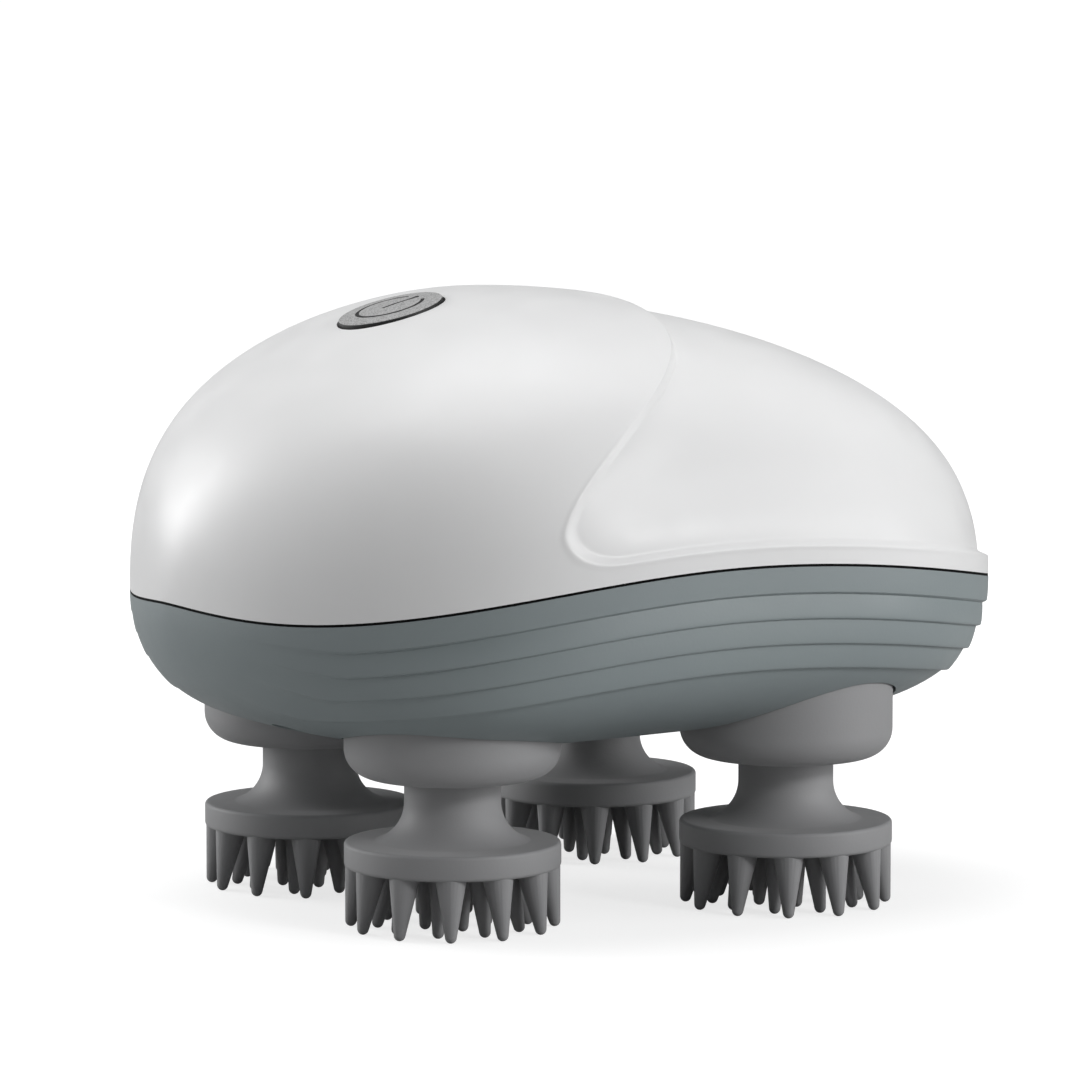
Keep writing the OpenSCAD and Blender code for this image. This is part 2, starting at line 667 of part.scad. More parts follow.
module massage_head() color([0.5, 0.5, 0.51]) {
  r = disc_d / 2;
  top = tooth_l + disc_t;
  difference() {
    union() {
      rotate_extrude($fn = 96) difference() {
        union() {
          translate([0, tooth_l]) square([r - rim_round, disc_t]);
          translate([0, tooth_l + rim_round]) square([r, disc_t - 2 * rim_round]);
          for (z = [tooth_l + rim_round, top - rim_round])
            translate([r - rim_round, z]) circle(rim_round, $fn = 32);
          translate([0, top - 0.2]) square([neck_d / 2, neck_top - top + 0.2]);
          translate([0, top - 0.1]) square([neck_d / 2 + flare_r, flare_r * 0.97]);
        }
        translate([neck_d / 2 + flare_r, top + flare_r * 0.97]) circle(flare_r, $fn = 96);
      }
      tooth_ring(outer_teeth, 0, r - tooth_base_d / 2, tooth_base_d, outer_lean);
      tooth_ring(middle_teeth, middle_phase, middle_ring_r, small_base_d, middle_lean);
      tooth_ring(inner_teeth, inner_phase, inner_ring_r, small_base_d, inner_lean);
    }
    translate([0, 0, spindle_low - socket_gap]) cylinder(r = hex_r + socket_gap, h = neck_top, $fn = 6);
  }
}

module spindle(gear_top) color([0.72, 0.73, 0.75]) {
  difference() {
    union() {
      translate([0, 0, spindle_low]) cylinder(r = hex_r, h = neck_top - spindle_low, $fn = 6);
      translate([0, 0, neck_top]) cylinder(r = thrust_r, h = 1);
      translate([0, 0, neck_top]) cylinder(r = shaft_r, h = gear_top - neck_top);
    }
    translate([0, 0, gear_top - 0.8]) cylinder(r = 0.8, h = 1);
  }
}

module collar() color([0.48, 0.48, 0.49]) {
  r = disc_d / 2;
  inner = r - collar_wall;
  difference() {
    union() {
      rotate_extrude($fn = 96) {
        translate([0, collar_z + collar_round]) square([r, collar_top - collar_z - collar_round]);
        translate([0, collar_z]) square([r - collar_round, collar_round + 1]);
        translate([r - collar_round, collar_z + collar_round]) circle(collar_round, $fn = 64);
      }
    }
    translate([0, 0, collar_z - 1]) cylinder(r = neck_d / 2 + neck_gap, h = 4);
    // hollow below the diaphragm
    translate([0, 0, collar_z + 2]) cylinder(r = neck_d / 2 + 2.4, h = diaphragm_z - collar_z - 2);
    translate([0, 0, diaphragm_z - 1]) cylinder(r = thrust_r - 0.6, h = 4);
    // seal pocket and the open top
    translate([0, 0, diaphragm_z + diaphragm_t]) cylinder(r = seal_r + seat_gap, h = 20);
    difference() {
      translate([0, 0, diaphragm_z + diaphragm_t]) cylinder(r = inner, h = 20);
      translate([0, 0, diaphragm_z]) cylinder(r = seal_r + 1.4, h = seal_h + diaphragm_t);
      for (a = [45, 225]) rotate(a) translate([collar_boss_r, 0, 0]) cylinder(r = 2, h = collar_top);
    }
    for (a = [45, 225]) rotate(a)
      translate([collar_boss_r, 0, collar_top - 5.5]) cylinder(r = 0.8, h = 6);
  }
}
collar_boss_r = 10.4;

module lip_seal() color([0.14, 0.14, 0.15])
  translate([0, 0, diaphragm_z + diaphragm_t]) rotate_extrude() difference() {
    translate([shaft_r + run_gap, 0]) square([seal_r - shaft_r - run_gap, seal_h]);
    translate([shaft_r + 1, 0.9]) square([seal_r - shaft_r - 2.2, seal_h]);
  }

module bush() color([0.8, 0.68, 0.35])
  difference() {
    union() {
      translate([0, 0, base_z - 2.6]) cylinder(r = bush_r, h = plate_t + 2.6);
      translate([0, 0, base_z + plate_t]) cylinder(r = bush_r + 1.4, h = flange_t);
    }
    translate([0, 0, base_z - 4]) cylinder(r = shaft_r + run_gap, h = plate_t + 8);
  }

module collar_screws() color([0.6, 0.6, 0.62])
  at_heads() for (a = [45, 225]) rotate(a)
    translate([collar_boss_r, 0, base_z + plate_t + 0.2]) mirror([0, 0, 1])
      screw(0.75, 5, 1.5, 0.9);

// --- Gears -----------------------------------------------------------------------------------------
pressure = 20;
function inv(a) = tan(a) * 180 / PI - a;
function flank_a(z, m, r) = let (rp = m * z / 2, rb = rp * cos(pressure))
  90 / z - backlash / 2 / rp * 90 / PI + inv(pressure) - inv(acos(min(1, rb / max(r, rb))));
function polar(r, a) = [r * cos(a), r * sin(a)];
// Outline of a spur gear with involute flanks; a tooth is centred on +X
module gear_outline(z, m) {
  rp = m * z / 2;
  root = rp - 1.25 * m;
  tip = rp + 0.9 * m;
  radii = [root, max(root + 0.05, rp * cos(pressure)), rp - 0.1 * m, (rp + tip) / 2, tip];
  polygon([for (k = [0 : z - 1]) each concat(
    [for (i = [0 : 4]) polar(radii[i], 360 * k / z - flank_a(z, m, radii[i]))],
    [for (i = [4 : -1 : 0]) polar(radii[i], 360 * k / z + flank_a(z, m, radii[i]))])]);
}
module spur(z, m, width, phase) rotate(phase) linear_extrude(width) gear_outline(z, m);
// Phase that puts gear 2 in mesh with gear 1, seen from gear 1 in direction a
function mesh_phase(a, phase, z1, z2) = a + 180 + (a - phase) * z1 / z2 - 180 / z2;

hub_r = 6;
// Lightening holes of the two reduction wheels, between hub and rim
wheel_rim_r = fine_module * wheel_z / 2 - 3.6;
wheel_hole_r = (wheel_rim_r - hub_r - 1.4) / 2;
wheel_hole_at = (wheel_rim_r + hub_r + 1.4) / 2;
module head_gear_large(fx, fy) color([0.9, 0.88, 0.8]) difference() {
  a = head_a(fx, fy);
  translate([0, 0, gear_z]) union() {
    spur(head_z1, coarse_module, gear_w, mesh_phase(a, 0, drive_z1, head_z1));
    cylinder(r = 5, h = gear_w + 0.8);
  }
  translate([0, 0, gear_z - 1]) cylinder(r = shaft_r + 0.02, h = 12);
}
module head_gear_small(fx, fy) color([0.9, 0.88, 0.8]) difference() {
  a = head_a(fx, fy);
  idler_phase = mesh_phase(a, 0, drive_z2, idler_z);
  translate([0, 0, gear_z]) union() {
    cylinder(r = 4.2, h = upper_gear_z - gear_z + 0.1);
    translate([0, 0, upper_gear_z - gear_z])
      spur(head_z2, coarse_module, idler_w, mesh_phase(a, idler_phase, idler_z, head_z2));
  }
  translate([0, 0, gear_z - 1]) cylinder(r = shaft_r + 0.02, h = 16);
}

module drive_gear() color([0.9, 0.88, 0.8]) at_drive() difference() {
  union() {
    translate([0, 0, gear_z]) spur(drive_z1, coarse_module, gear_w, 0);
    translate([0, 0, gear_z + gear_w - 0.1])
      cylinder(r = 7.5, h = upper_gear_z - gear_z - gear_w + 0.2);
    translate([0, 0, upper_gear_z]) spur(drive_z2, coarse_module, idler_w, 0);
    translate([0, 0, upper_gear_z]) cylinder(r = hub_r, h = wheel_b_z - upper_gear_z);
    translate([0, 0, wheel_b_z - 0.5]) cylinder(r = 4.6, h = wheel_w + 0.5, $fn = 6);
  }
  translate([0, 0, gear_z - 1]) cylinder(r = axle_r + run_gap, h = 30);
  // lightening ring between rim and hub
  translate([0, 0, gear_z - 1]) difference() {
    cylinder(r = 16.5, h = 2.4);
    translate([0, 0, -1]) cylinder(r = 8.5, h = 5);
  }
}
module drive_axle() color([0.72, 0.73, 0.75]) at_drive() {
  translate([0, 0, base_z - 1.2]) cylinder(r = axle_r, h = wheel_b_z + wheel_w + 0.6 - base_z + 1.2);
}
module drive_wheel() color([0.86, 0.84, 0.76]) at_drive() difference() {
  translate([0, 0, wheel_b_z]) spur(wheel_z, fine_module, wheel_w, 0);
  translate([0, 0, wheel_b_z - 1]) cylinder(r = 4.6 + 0.04, h = 10, $fn = 6);
  for (k = [0 : 5]) rotate(60 * k + 30)
    translate([wheel_hole_at, 0, wheel_b_z - 1]) cylinder(r = wheel_hole_r, h = 10);
}

// Idlers stand between the drive gear's upper ring and two of the heads
module at_idler(fx, fy) at_drive() rotate(head_a(fx, fy)) translate([idler_r, 0, 0])
  rotate(-head_a(fx, fy)) children();
module idler_gear(fx, fy) color([0.9, 0.88, 0.8]) at_idler(fx, fy) difference() {
  translate([0, 0, upper_gear_z])
    spur(idler_z, coarse_module, idler_w, mesh_phase(head_a(fx, fy), 0, drive_z2, idler_z));
  translate([0, 0, upper_gear_z - 1]) cylinder(r = axle_r - 0.5 + run_gap, h = 10);
}
module idler_pins() color([0.72, 0.73, 0.75])
  for (f = [[-1, 1], [1, -1]]) at_idler(f[0], f[1]) {
    translate([0, 0, upper_gear_z - 0.2]) cylinder(r = axle_r - 0.5, h = cover_z + 1.2 - upper_gear_z);
    translate([0, 0, upper_gear_z - 0.3]) cylinder(r = axle_r + 0.4, h = 0.25);
  }

reduction_a = 90;
module at_reduction() at_drive() rotate(reduction_a) translate([fine_r, 0, 0]) rotate(-reduction_a)
  children();
reduction_phase = mesh_phase(reduction_a, 0, wheel_z, pinion_z);
module reduction_gear() color([0.86, 0.84, 0.76]) at_reduction() difference() {
  union() {
    translate([0, 0, wheel_b_z - 0.2])
      spur(pinion_z, fine_module, wheel_a_z - wheel_b_z + 0.3, reduction_phase);
    translate([0, 0, wheel_a_z]) spur(wheel_z, fine_module, wheel_w, reduction_phase);
  }
  translate([0, 0, wheel_b_z - 1]) cylinder(r = pin_r + run_gap, h = 12);
  for (k = [0 : 5]) rotate(60 * k + 30 + reduction_phase)
    translate([wheel_hole_at, 0, wheel_a_z - 1]) cylinder(r = wheel_hole_r, h = 10);
}
module reduction_pin() color([0.72, 0.73, 0.75]) at_reduction()
  translate([0, 0, cover_z + 0.2]) cylinder(r = pin_r, h = bracket_z + 1 - cover_z - 0.2);

pinion_phase = mesh_phase(reduction_a + 180, reduction_phase, wheel_z, pinion_z);
module motor_pinion() color([0.8, 0.68, 0.35]) at_drive() difference() {
  translate([0, 0, wheel_a_z - 0.2]) spur(pinion_z, fine_module, wheel_w + 0.6, pinion_phase);
  translate([0, 0, wheel_a_z - 1]) cylinder(r = pin_r + 0.01, h = 10);
}

// --- Gearbox -----------------------------------------------------------------------------------------
arm_w = 11;
module plate_outline(head_r, centre_r) {
  circle(r = centre_r, $fn = 96);
  for (fx = [-1, 1], fy = [-1, 1]) {
    translate([head_x(fx) - drive_x, head_y(fx, fy)]) circle(r = head_r, $fn = 72);
    rotate(head_a(fx, fy)) translate([0, -arm_w / 2]) square([head_circle_r, arm_w]);
  }
  for (s = [-1, 1]) {
    translate([s * cover_post_x, 0]) circle(r = gear_post_r + 0.8);
    translate([0, s * cover_post_y]) circle(r = gear_post_r + 0.8);
  }
}
module gearbox_base() color([0.2, 0.2, 0.22]) difference() {
  union() {
    at_drive() translate([0, 0, base_z]) linear_extrude(plate_t)
      plate_outline(disc_d / 2 - 0.2, 24);
    at_heads() translate([0, 0, base_z - 2.6]) cylinder(r = bush_r + 1.6, h = 2.7);
    at_gear_posts() translate([0, 0, base_z]) cylinder(r = gear_post_r - 0.4, h = cover_z - base_z - 0.05);
    at_drive() translate([0, 0, base_z - 1.2]) cylinder(r = 5, h = 1.3);
  }
  at_heads() {
    translate([0, 0, base_z - 4]) cylinder(r = bush_r + 0.02, h = 12);
    for (a = [45, 225]) rotate(a) translate([collar_boss_r, 0, 0]) {
      translate([0, 0, base_z - 1]) cylinder(r = 0.9, h = 8);
      translate([0, 0, base_z + plate_t - 0.9]) cylinder(r = 1.7, h = 2);
    }
  }
  at_drive() translate([0, 0, base_z - 2]) cylinder(r = axle_r + 0.01, h = 10);
  at_gear_posts() translate([0, 0, base_z - 1]) cylinder(r = screw_r + 0.15, h = 30);
}

cover_arm_w = 9;
module gearbox_cover() color([0.25, 0.25, 0.27]) difference() {
  union() {
    at_drive() translate([0, 0, cover_z]) linear_extrude(cover_plate_t) {
      circle(r = 22.5, $fn = 96);
      for (fx = [-1, 1], fy = [-1, 1]) {
        translate([head_x(fx) - drive_x, head_y(fx, fy)]) circle(r = 6);
        rotate(head_a(fx, fy)) translate([0, -cover_arm_w / 2]) square([head_circle_r, cover_arm_w]);
      }
      for (s = [-1, 1]) {
        translate([s * cover_post_x, 0]) circle(r = gear_post_r + 0.6);
        translate([s * cover_post_x / 2, 0]) square([cover_post_x, cover_arm_w], center = true);
        translate([0, s * cover_post_y]) circle(r = gear_post_r + 0.6);
      }
    }
    at_reduction() translate([0, 0, cover_z]) cylinder(r = 3, h = cover_plate_t);
    at_bracket_posts() translate([0, 0, cover_z]) cylinder(r = bracket_post_r, h = bracket_z - cover_z);
  }
  at_drive() translate([0, 0, cover_z - 1]) cylinder(r = hub_r + run_gap, h = 5);
  at_heads() translate([0, 0, cover_z - 1]) cylinder(r = shaft_r + run_gap, h = 5);
  for (f = [[-1, 1], [1, -1]]) at_idler(f[0], f[1])
    translate([0, 0, cover_z - 1]) cylinder(r = axle_r - 0.5 + 0.01, h = 2);
  at_reduction() translate([0, 0, cover_z + 0.2]) cylinder(r = pin_r + 0.01, h = 5);
  at_gear_posts() translate([0, 0, cover_z - 1]) cylinder(r = screw_r + 0.15, h = 30);
  at_bracket_posts() translate([0, 0, bracket_z - 5]) cylinder(r = tap_r - 0.2, h = 6);
}
gear_screw_l = cover_z + cover_plate_t - base_z + 5;
module gearbox_screws() color([0.6, 0.6, 0.62])
  at_gear_posts() translate([0, 0, cover_z + cover_plate_t + 1.6]) mirror([0, 0, 1])
    screw(tap_r - 0.05, gear_screw_l, 2.2, 1.6);

bracket_post_r = 2.3;
bracket_post_x = 20.6;
bracket_post_y = 9;
module at_bracket_posts() at_drive() for (s = [-1, 1]) {
  translate([s * bracket_post_x, -bracket_post_y, 0]) children();
  translate([s * bracket_post_x, bracket_post_y, 0]) children();
}
motor_screw_r = 8;
boss_r = 3;
module motor_bracket() color([0.7, 0.71, 0.73]) difference() {
  union() {
    at_drive() translate([0, 0, bracket_z]) linear_extrude(bracket_t) {
      circle(r = motor_d / 2 + 1, $fn = 72);
      for (s = [-1, 1]) {
        translate([-bracket_post_x, s * bracket_post_y - 3]) square([2 * bracket_post_x, 6]);
        for (q = [-1, 1]) translate([q * bracket_post_x, s * bracket_post_y]) circle(r = 3);
      }
      translate([-3, 0]) square([6, fine_r]);
      translate([0, fine_r]) circle(r = 3);
    }
  }
  at_drive() translate([0, 0, bracket_z - 1]) cylinder(r = boss_r + 0.1, h = 5);
  at_reduction() translate([0, 0, bracket_z - 1]) cylinder(r = pin_r + 0.01, h = 5);
  at_bracket_posts() translate([0, 0, bracket_z - 1]) cylinder(r = small_screw_r + 0.1, h = 5);
  at_drive() for (s = [-1, 1]) translate([s * motor_screw_r, 0, bracket_z - 1])
    cylinder(r = small_screw_r + 0.1, h = 5);
}
module bracket_screws() color([0.6, 0.6, 0.62])
  at_bracket_posts() translate([0, 0, motor_z + 1.2]) mirror([0, 0, 1]) screw(0.85, 5, 1.8, 1.2);

module motor_case() color([0.78, 0.79, 0.8]) at_drive() difference() {
  union() {
    translate([0, 0, motor_z + 0.02]) cylinder(d = motor_d, h = motor_l - 1, $fn = 72);
    translate([0, 0, motor_z + motor_l - 1.2]) cylinder(d = motor_d - 1.4, h = 1.2, $fn = 72);
    translate([0, 0, motor_z - 1.2]) cylinder(r = boss_r, h = 1.4);
    translate([0, 0, motor_z + motor_l - 0.1]) cylinder(r = boss_r, h = 1.3);
    for (s = [-1, 1]) translate([s * 7 - 0.25, -1, motor_z + motor_l - 0.1]) cube([0.5, 2, 2.2]);
  }
  translate([0, 0, motor_z - 3]) cylinder(r = pin_r + run_gap, h = motor_l + 1);
  for (s = [-1, 1]) translate([s * motor_screw_r, 0, motor_z - 1]) cylinder(r = small_screw_r + 0.02, h = 4);
}
module motor_shaft() color([0.72, 0.73, 0.75]) at_drive()
  translate([0, 0, wheel_a_z - 0.1]) cylinder(r = pin_r, h = motor_z + motor_l - 3 - wheel_a_z);
module motor_screws() color([0.6, 0.6, 0.62]) at_drive()
  for (s = [-1, 1]) translate([s * motor_screw_r, 0, bracket_z - 0.9]) screw(small_screw_r - 0.1, 3.8, 1.8, 0.9);

// --- Battery and charging ------------------------------------------------------------------------
module battery_cell() color([0.2, 0.45, 0.62]) translate([cell_at, 0, cell_z]) rotate([90, 0, 0]) {
  difference() {
    cylinder(d = cell_d, h = cell_l - 1, center = true, $fn = 72);
    for (s = [-1, 1]) translate([0, 0, s * (cell_l / 2 - 1.4)])
      difference() {
        cylinder(d = cell_d + 1, h = 0.5, center = true);
        cylinder(d = cell_d - 0.6, h = 1, center = true);
      }
  }
  translate([0, 0, cell_l / 2 - 0.6]) cylinder(r = 3, h = 1.1);
  translate([0, 0, -cell_l / 2]) cylinder(r = 6, h = 0.6);
}
// The cradle's trough, its two end walls and the two lugs that it is screwed down by
cradle_w = 7.4;
end_gap = 0.8;
end_t = 1.8;
lug_w = 6;
module battery_cradle() color([0.22, 0.22, 0.24]) difference() {
  length = cell_l + 2 * (end_gap + end_t);
  translate([cell_at - cradle_w / 2, -length / 2, cradle_floor_z]) {
    cube([cradle_w, length, cradle_t + 4.1]);
    for (y = [0, length - end_t])
      translate([0, y, 0]) cube([cradle_w, end_t, cell_z - cradle_floor_z]);
    for (s = [-1, 1])
      translate([cradle_w - 1, length / 2 + s * cradle_y - lug_w / 2, 0])
        cube([cradle_x - cell_at - cradle_w / 2 + 1 + lug_w / 2, lug_w, cradle_lug_t]);
  }
  translate([cell_at, 0, cell_z]) rotate([90, 0, 0])
    cylinder(d = cell_d + 0.2, h = cell_l + 2 * end_gap, center = true, $fn = 72);
  for (s = [-1, 1])
    translate([cradle_x, s * cradle_y, cradle_floor_z - 1]) cylinder(r = 1.1, h = 8);
}
module cradle_screws() color([0.6, 0.6, 0.62])
  for (s = [-1, 1])
    translate([cradle_x, s * cradle_y, cradle_floor_z + cradle_lug_t + 1.1]) mirror([0, 0, 1])
      screw(0.85, 5, 1.7, 1.1);

board_l = 19;
board_w = 12.6;
module charge_board() color([0.1, 0.35, 0.2]) {
  difference() {
    translate([pocket_x - port_wall_t - 0.2 - board_l, -board_w / 2, board_top_z - charge_board_t])
      cube([board_l, board_w, charge_board_t]);
    translate([charge_post_x, 0, board_top_z - 5]) cylinder(r = 0.9, h = 8);
  }
  for (p = [[-13.4, 3], [-13.4, -5.4], [-20, 3.4]])
    translate([pocket_x + p[0], p[1], board_top_z]) cube([2.4, 2.4, 1]);
}
module charge_socket() color([0.8, 0.8, 0.82]) difference() {
  translate([pocket_x - 0.4 - socket_l, 0, port_z + 0.01]) slot_x(socket_w, socket_h, socket_l);
  translate([pocket_x - socket_l + 1, 0, port_z + 0.01]) slot_x(socket_w - 0.6, socket_h - 0.6, socket_l);
}
module port_cover() color([0.42, 0.45, 0.46]) {
  difference() {
    translate([hinge_x - hinge_r, 0, port_z]) panel_x(cover_w, cover_h, cover_corner, cover_t);
    translate([hinge_x - cover_t, -cover_w, hinge_z - cover_h]) cube([2 * cover_t, 2 * cover_w, cover_h]);
  }
  translate([hinge_x, 0, hinge_z]) rotate([90, 0, 0]) {
    cylinder(r = hinge_r, h = cover_w - 2 * cover_corner, center = true);
    cylinder(r = hinge_pin_r, h = cover_w + 2 * (pocket_gap + hinge_pin_l), center = true);
  }
  translate([hinge_x, 0, port_z + cover_h * 0.2]) slot_x(4, 1, hinge_r + 0.6);
}

housing_head_h = 1.8;
module housing_screws() color([0.6, 0.6, 0.62])
  for (s = [-1, 1]) {
    translate([nose_post_x, s * nose_post_y, nose_split_z - post_wall - housing_head_h])
      screw(tap_r - seat_gap, post_wall + 7, housing_head_r, housing_head_h);
    translate([tail_post_x, s * tail_post_y, tail_split_z - post_wall - housing_head_h])
      screw(tap_r - seat_gap, post_wall + 7, housing_head_r, housing_head_h);
  }

upper_shell();
lower_shell();
parting_seal();
power_button();
button_seal();
switch_plunger();
tact_switch();
button_board();
button_screws();
at_head(-1, -1) collar();  // collar_front_left
at_head(-1, 1) collar();  // collar_front_right
at_head(1, -1) collar();  // collar_rear_left
at_head(1, 1) collar();  // collar_rear_right
at_head(-1, -1) massage_head();  // massage_head_front_left
at_head(-1, 1) massage_head();  // massage_head_front_right
at_head(1, -1) massage_head();  // massage_head_rear_left
at_head(1, 1) massage_head();  // massage_head_rear_right
at_head(-1, -1) spindle(cover_z + cover_plate_t);  // spindle_front_left
at_head(-1, 1) spindle(cover_z + cover_plate_t);  // spindle_front_right
at_head(1, -1) spindle(cover_z + cover_plate_t);  // spindle_rear_left
at_head(1, 1) spindle(cover_z + cover_plate_t);  // spindle_rear_right
at_head(-1, -1) head_gear_large(-1, -1);  // head_gear_front_left
at_head(-1, 1) head_gear_small(-1, 1);  // head_gear_front_right
at_head(1, -1) head_gear_small(1, -1);  // head_gear_rear_left
at_head(1, 1) head_gear_large(1, 1);  // head_gear_rear_right
at_head(-1, -1) lip_seal();  // lip_seal_front_left
at_head(-1, 1) lip_seal();  // lip_seal_front_right
at_head(1, -1) lip_seal();  // lip_seal_rear_left
at_head(1, 1) lip_seal();  // lip_seal_rear_right
at_head(-1, -1) bush();  // bush_front_left
at_head(-1, 1) bush();  // bush_front_right
at_head(1, -1) bush();  // bush_rear_left
at_head(1, 1) bush();  // bush_rear_right
collar_screws();
gearbox_base();
gearbox_cover();
gearbox_screws();
drive_gear();
drive_axle();
drive_wheel();
idler_gear(-1, 1);  // idler_gear_front
idler_gear(1, -1);  // idler_gear_rear
idler_pins();
reduction_gear();
reduction_pin();
motor_case();
motor_shaft();
motor_pinion();
motor_bracket();
motor_screws();
bracket_screws();
battery_cell();
battery_cradle();
cradle_screws();
charge_board();
charge_socket();
port_cover();
housing_screws();
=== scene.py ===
# Looks of the electric scalp massager: smooth skins over its packed shells, soft silicone heads,
# finishes for every piece, and a plain studio at the photograph's angle.
import json
import math

import bpy
from mathutils import Matrix, Vector


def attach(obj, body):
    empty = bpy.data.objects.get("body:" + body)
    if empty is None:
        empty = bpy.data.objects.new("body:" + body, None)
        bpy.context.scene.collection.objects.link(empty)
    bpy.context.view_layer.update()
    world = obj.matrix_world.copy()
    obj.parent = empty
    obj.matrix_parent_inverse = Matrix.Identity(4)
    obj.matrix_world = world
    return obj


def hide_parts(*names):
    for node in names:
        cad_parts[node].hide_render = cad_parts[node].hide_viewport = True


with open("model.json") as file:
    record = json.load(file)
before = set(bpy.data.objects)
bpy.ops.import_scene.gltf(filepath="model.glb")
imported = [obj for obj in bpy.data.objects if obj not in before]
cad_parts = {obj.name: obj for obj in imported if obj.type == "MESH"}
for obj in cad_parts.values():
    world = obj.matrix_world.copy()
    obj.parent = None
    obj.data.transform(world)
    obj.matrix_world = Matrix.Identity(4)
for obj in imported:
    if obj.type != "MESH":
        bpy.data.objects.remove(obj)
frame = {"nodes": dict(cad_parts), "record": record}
bpy.ops.object.select_all(action="DESELECT")
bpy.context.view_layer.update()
MM = 0.001

# --- Camera and studio --------------------------------------------------------------------------

AIM = Vector((-3.8, 0.1, 47.05)) * MM
CAMERA_TURN = math.radians(-29.7)
CAMERA_RISE = math.radians(6.4)
CAMERA_AWAY = 0.862
SENSOR_W, LENS = 36, 217.5

WHITE = (1, 1, 1, 1)
FLOOR_W, FLOOR_PAINT = 12, (0.42, 0.42, 0.42, 1)
GLOW_NEAR, GLOW_AT_PIECE, GLOW_FAR = 0.1, 0.74, 0.4
AIR_COLOR, AIR_STRENGTH = (0.96, 0.98, 1, 1), 0.11

# Name, place and target in metres, width and height in metres, power in watts
SOFTBOXES = (
    ("key", (0.62, -0.5, 0.22), (0.02, 0, 0.05), 0.5, 0.4, 2.5),
    ("heads_fill", (0.35, -0.75, 0.18), (0.02, 0, 0.04), 0.4, 0.25, 0.35),
    ("flank_glint", (0.24, -0.7, 0.36), (-0.01, -0.04, 0.05), 0.16, 0.12, 1.7),
    ("overhead", (-0.05, 0.12, 0.8), (-0.02, 0, 0.05), 0.7, 0.6, 4.3),
    ("nose_rim", (-0.72, 0.45, 0.15), (-0.05, 0, 0.05), 0.3, 0.25, 0.2),
    ("nose_wash", (-0.75, 0.35, 0.35), (-0.05, 0, 0.06), 0.7, 0.6, 1.3),
    ("back", (-0.5, 0.75, 0.3), (-0.05, 0, 0.05), 0.4, 0.4, 3.4),
)


def aim_at(obj, place, target):
    obj.location = place
    obj.rotation_mode = "QUATERNION"
    obj.rotation_quaternion = (target - place).to_track_quat("-Z", "Y")


def add_camera():
    """The photograph's own angle and perspective."""
    back = Vector((
        math.sin(CAMERA_TURN) * math.cos(CAMERA_RISE),
        -math.cos(CAMERA_TURN) * math.cos(CAMERA_RISE),
        math.sin(CAMERA_RISE),
    ))
    camera = bpy.data.objects.new("camera", bpy.data.cameras.new("camera"))
    bpy.context.scene.collection.objects.link(camera)
    camera.data.sensor_width = SENSOR_W
    camera.data.lens = LENS
    aim_at(camera, AIM + back * CAMERA_AWAY, AIM)
    bpy.context.scene.camera = camera


def add_softbox(name, place, target, width, height, power):
    lamp = bpy.data.lights.new(name, "AREA")
    lamp.shape = "RECTANGLE"
    lamp.size = width
    lamp.size_y = height
    lamp.energy = power
    obj = bpy.data.objects.new(name, lamp)
    obj.visible_camera = False
    bpy.context.scene.collection.objects.link(obj)
    aim_at(obj, Vector(place), Vector(target))


def new_material(name):
    material = bpy.data.materials.new(name)
    material.use_nodes = True
    material.node_tree.nodes.clear()
    return material, material.node_tree


def two_way(tree, operation, first, second):
    node = tree.nodes.new("ShaderNodeMath")
    node.operation = operation
    for socket, value in zip(node.inputs, (first, second)):
        if isinstance(value, (int, float)):
            socket.default_value = value
        else:
            tree.links.new(value, socket)
    return node.outputs[0]


def seen_directly(tree):
    """1 for a ray that shows the background itself to the camera."""
    return tree.nodes.new("ShaderNodeLightPath").outputs["Is Camera Ray"]


def add_floor():
    """A white floor that keeps a faint shadow, and that can be looked through from below."""
    bpy.ops.mesh.primitive_plane_add(size=FLOOR_W, location=(0, 0, 0))
    floor = bpy.context.object
    floor.name = "floor"
    material, tree = new_material("white_floor")
    out = tree.nodes.new("ShaderNodeOutputMaterial")
    paint = tree.nodes.new("ShaderNodeBsdfDiffuse")
    paint.inputs["Color"].default_value = FLOOR_PAINT
    place = tree.nodes.new("ShaderNodeTexCoord")
    away = tree.nodes.new("ShaderNodeVectorMath")
    away.operation = "LENGTH"
    tree.links.new(place.outputs["Object"], away.inputs[0])
    fade = tree.nodes.new("ShaderNodeMapRange")
    fade.interpolation_type = "SMOOTHSTEP"
    fade.inputs["From Min"].default_value = GLOW_NEAR
    fade.inputs["From Max"].default_value = GLOW_FAR
    fade.inputs["To Min"].default_value = GLOW_AT_PIECE
    fade.inputs["To Max"].default_value = 1
    tree.links.new(away.outputs["Value"], fade.inputs["Value"])
    glow = tree.nodes.new("ShaderNodeEmission")
    glow.inputs["Color"].default_value = WHITE
    tree.links.new(
        two_way(tree, "MULTIPLY", seen_directly(tree), fade.outputs["Result"]),
        glow.inputs["Strength"])
    both = tree.nodes.new("ShaderNodeAddShader")
    tree.links.new(paint.outputs[0], both.inputs[0])
    tree.links.new(glow.outputs[0], both.inputs[1])
    from_below = tree.nodes.new("ShaderNodeMixShader")
    tree.links.new(
        tree.nodes.new("ShaderNodeNewGeometry").outputs["Backfacing"], from_below.inputs[0])
    tree.links.new(both.outputs[0], from_below.inputs[1])
    tree.links.new(tree.nodes.new("ShaderNodeBsdfTransparent").outputs[0], from_below.inputs[2])
    tree.links.new(from_below.outputs[0], out.inputs["Surface"])
    floor.data.materials.append(material)


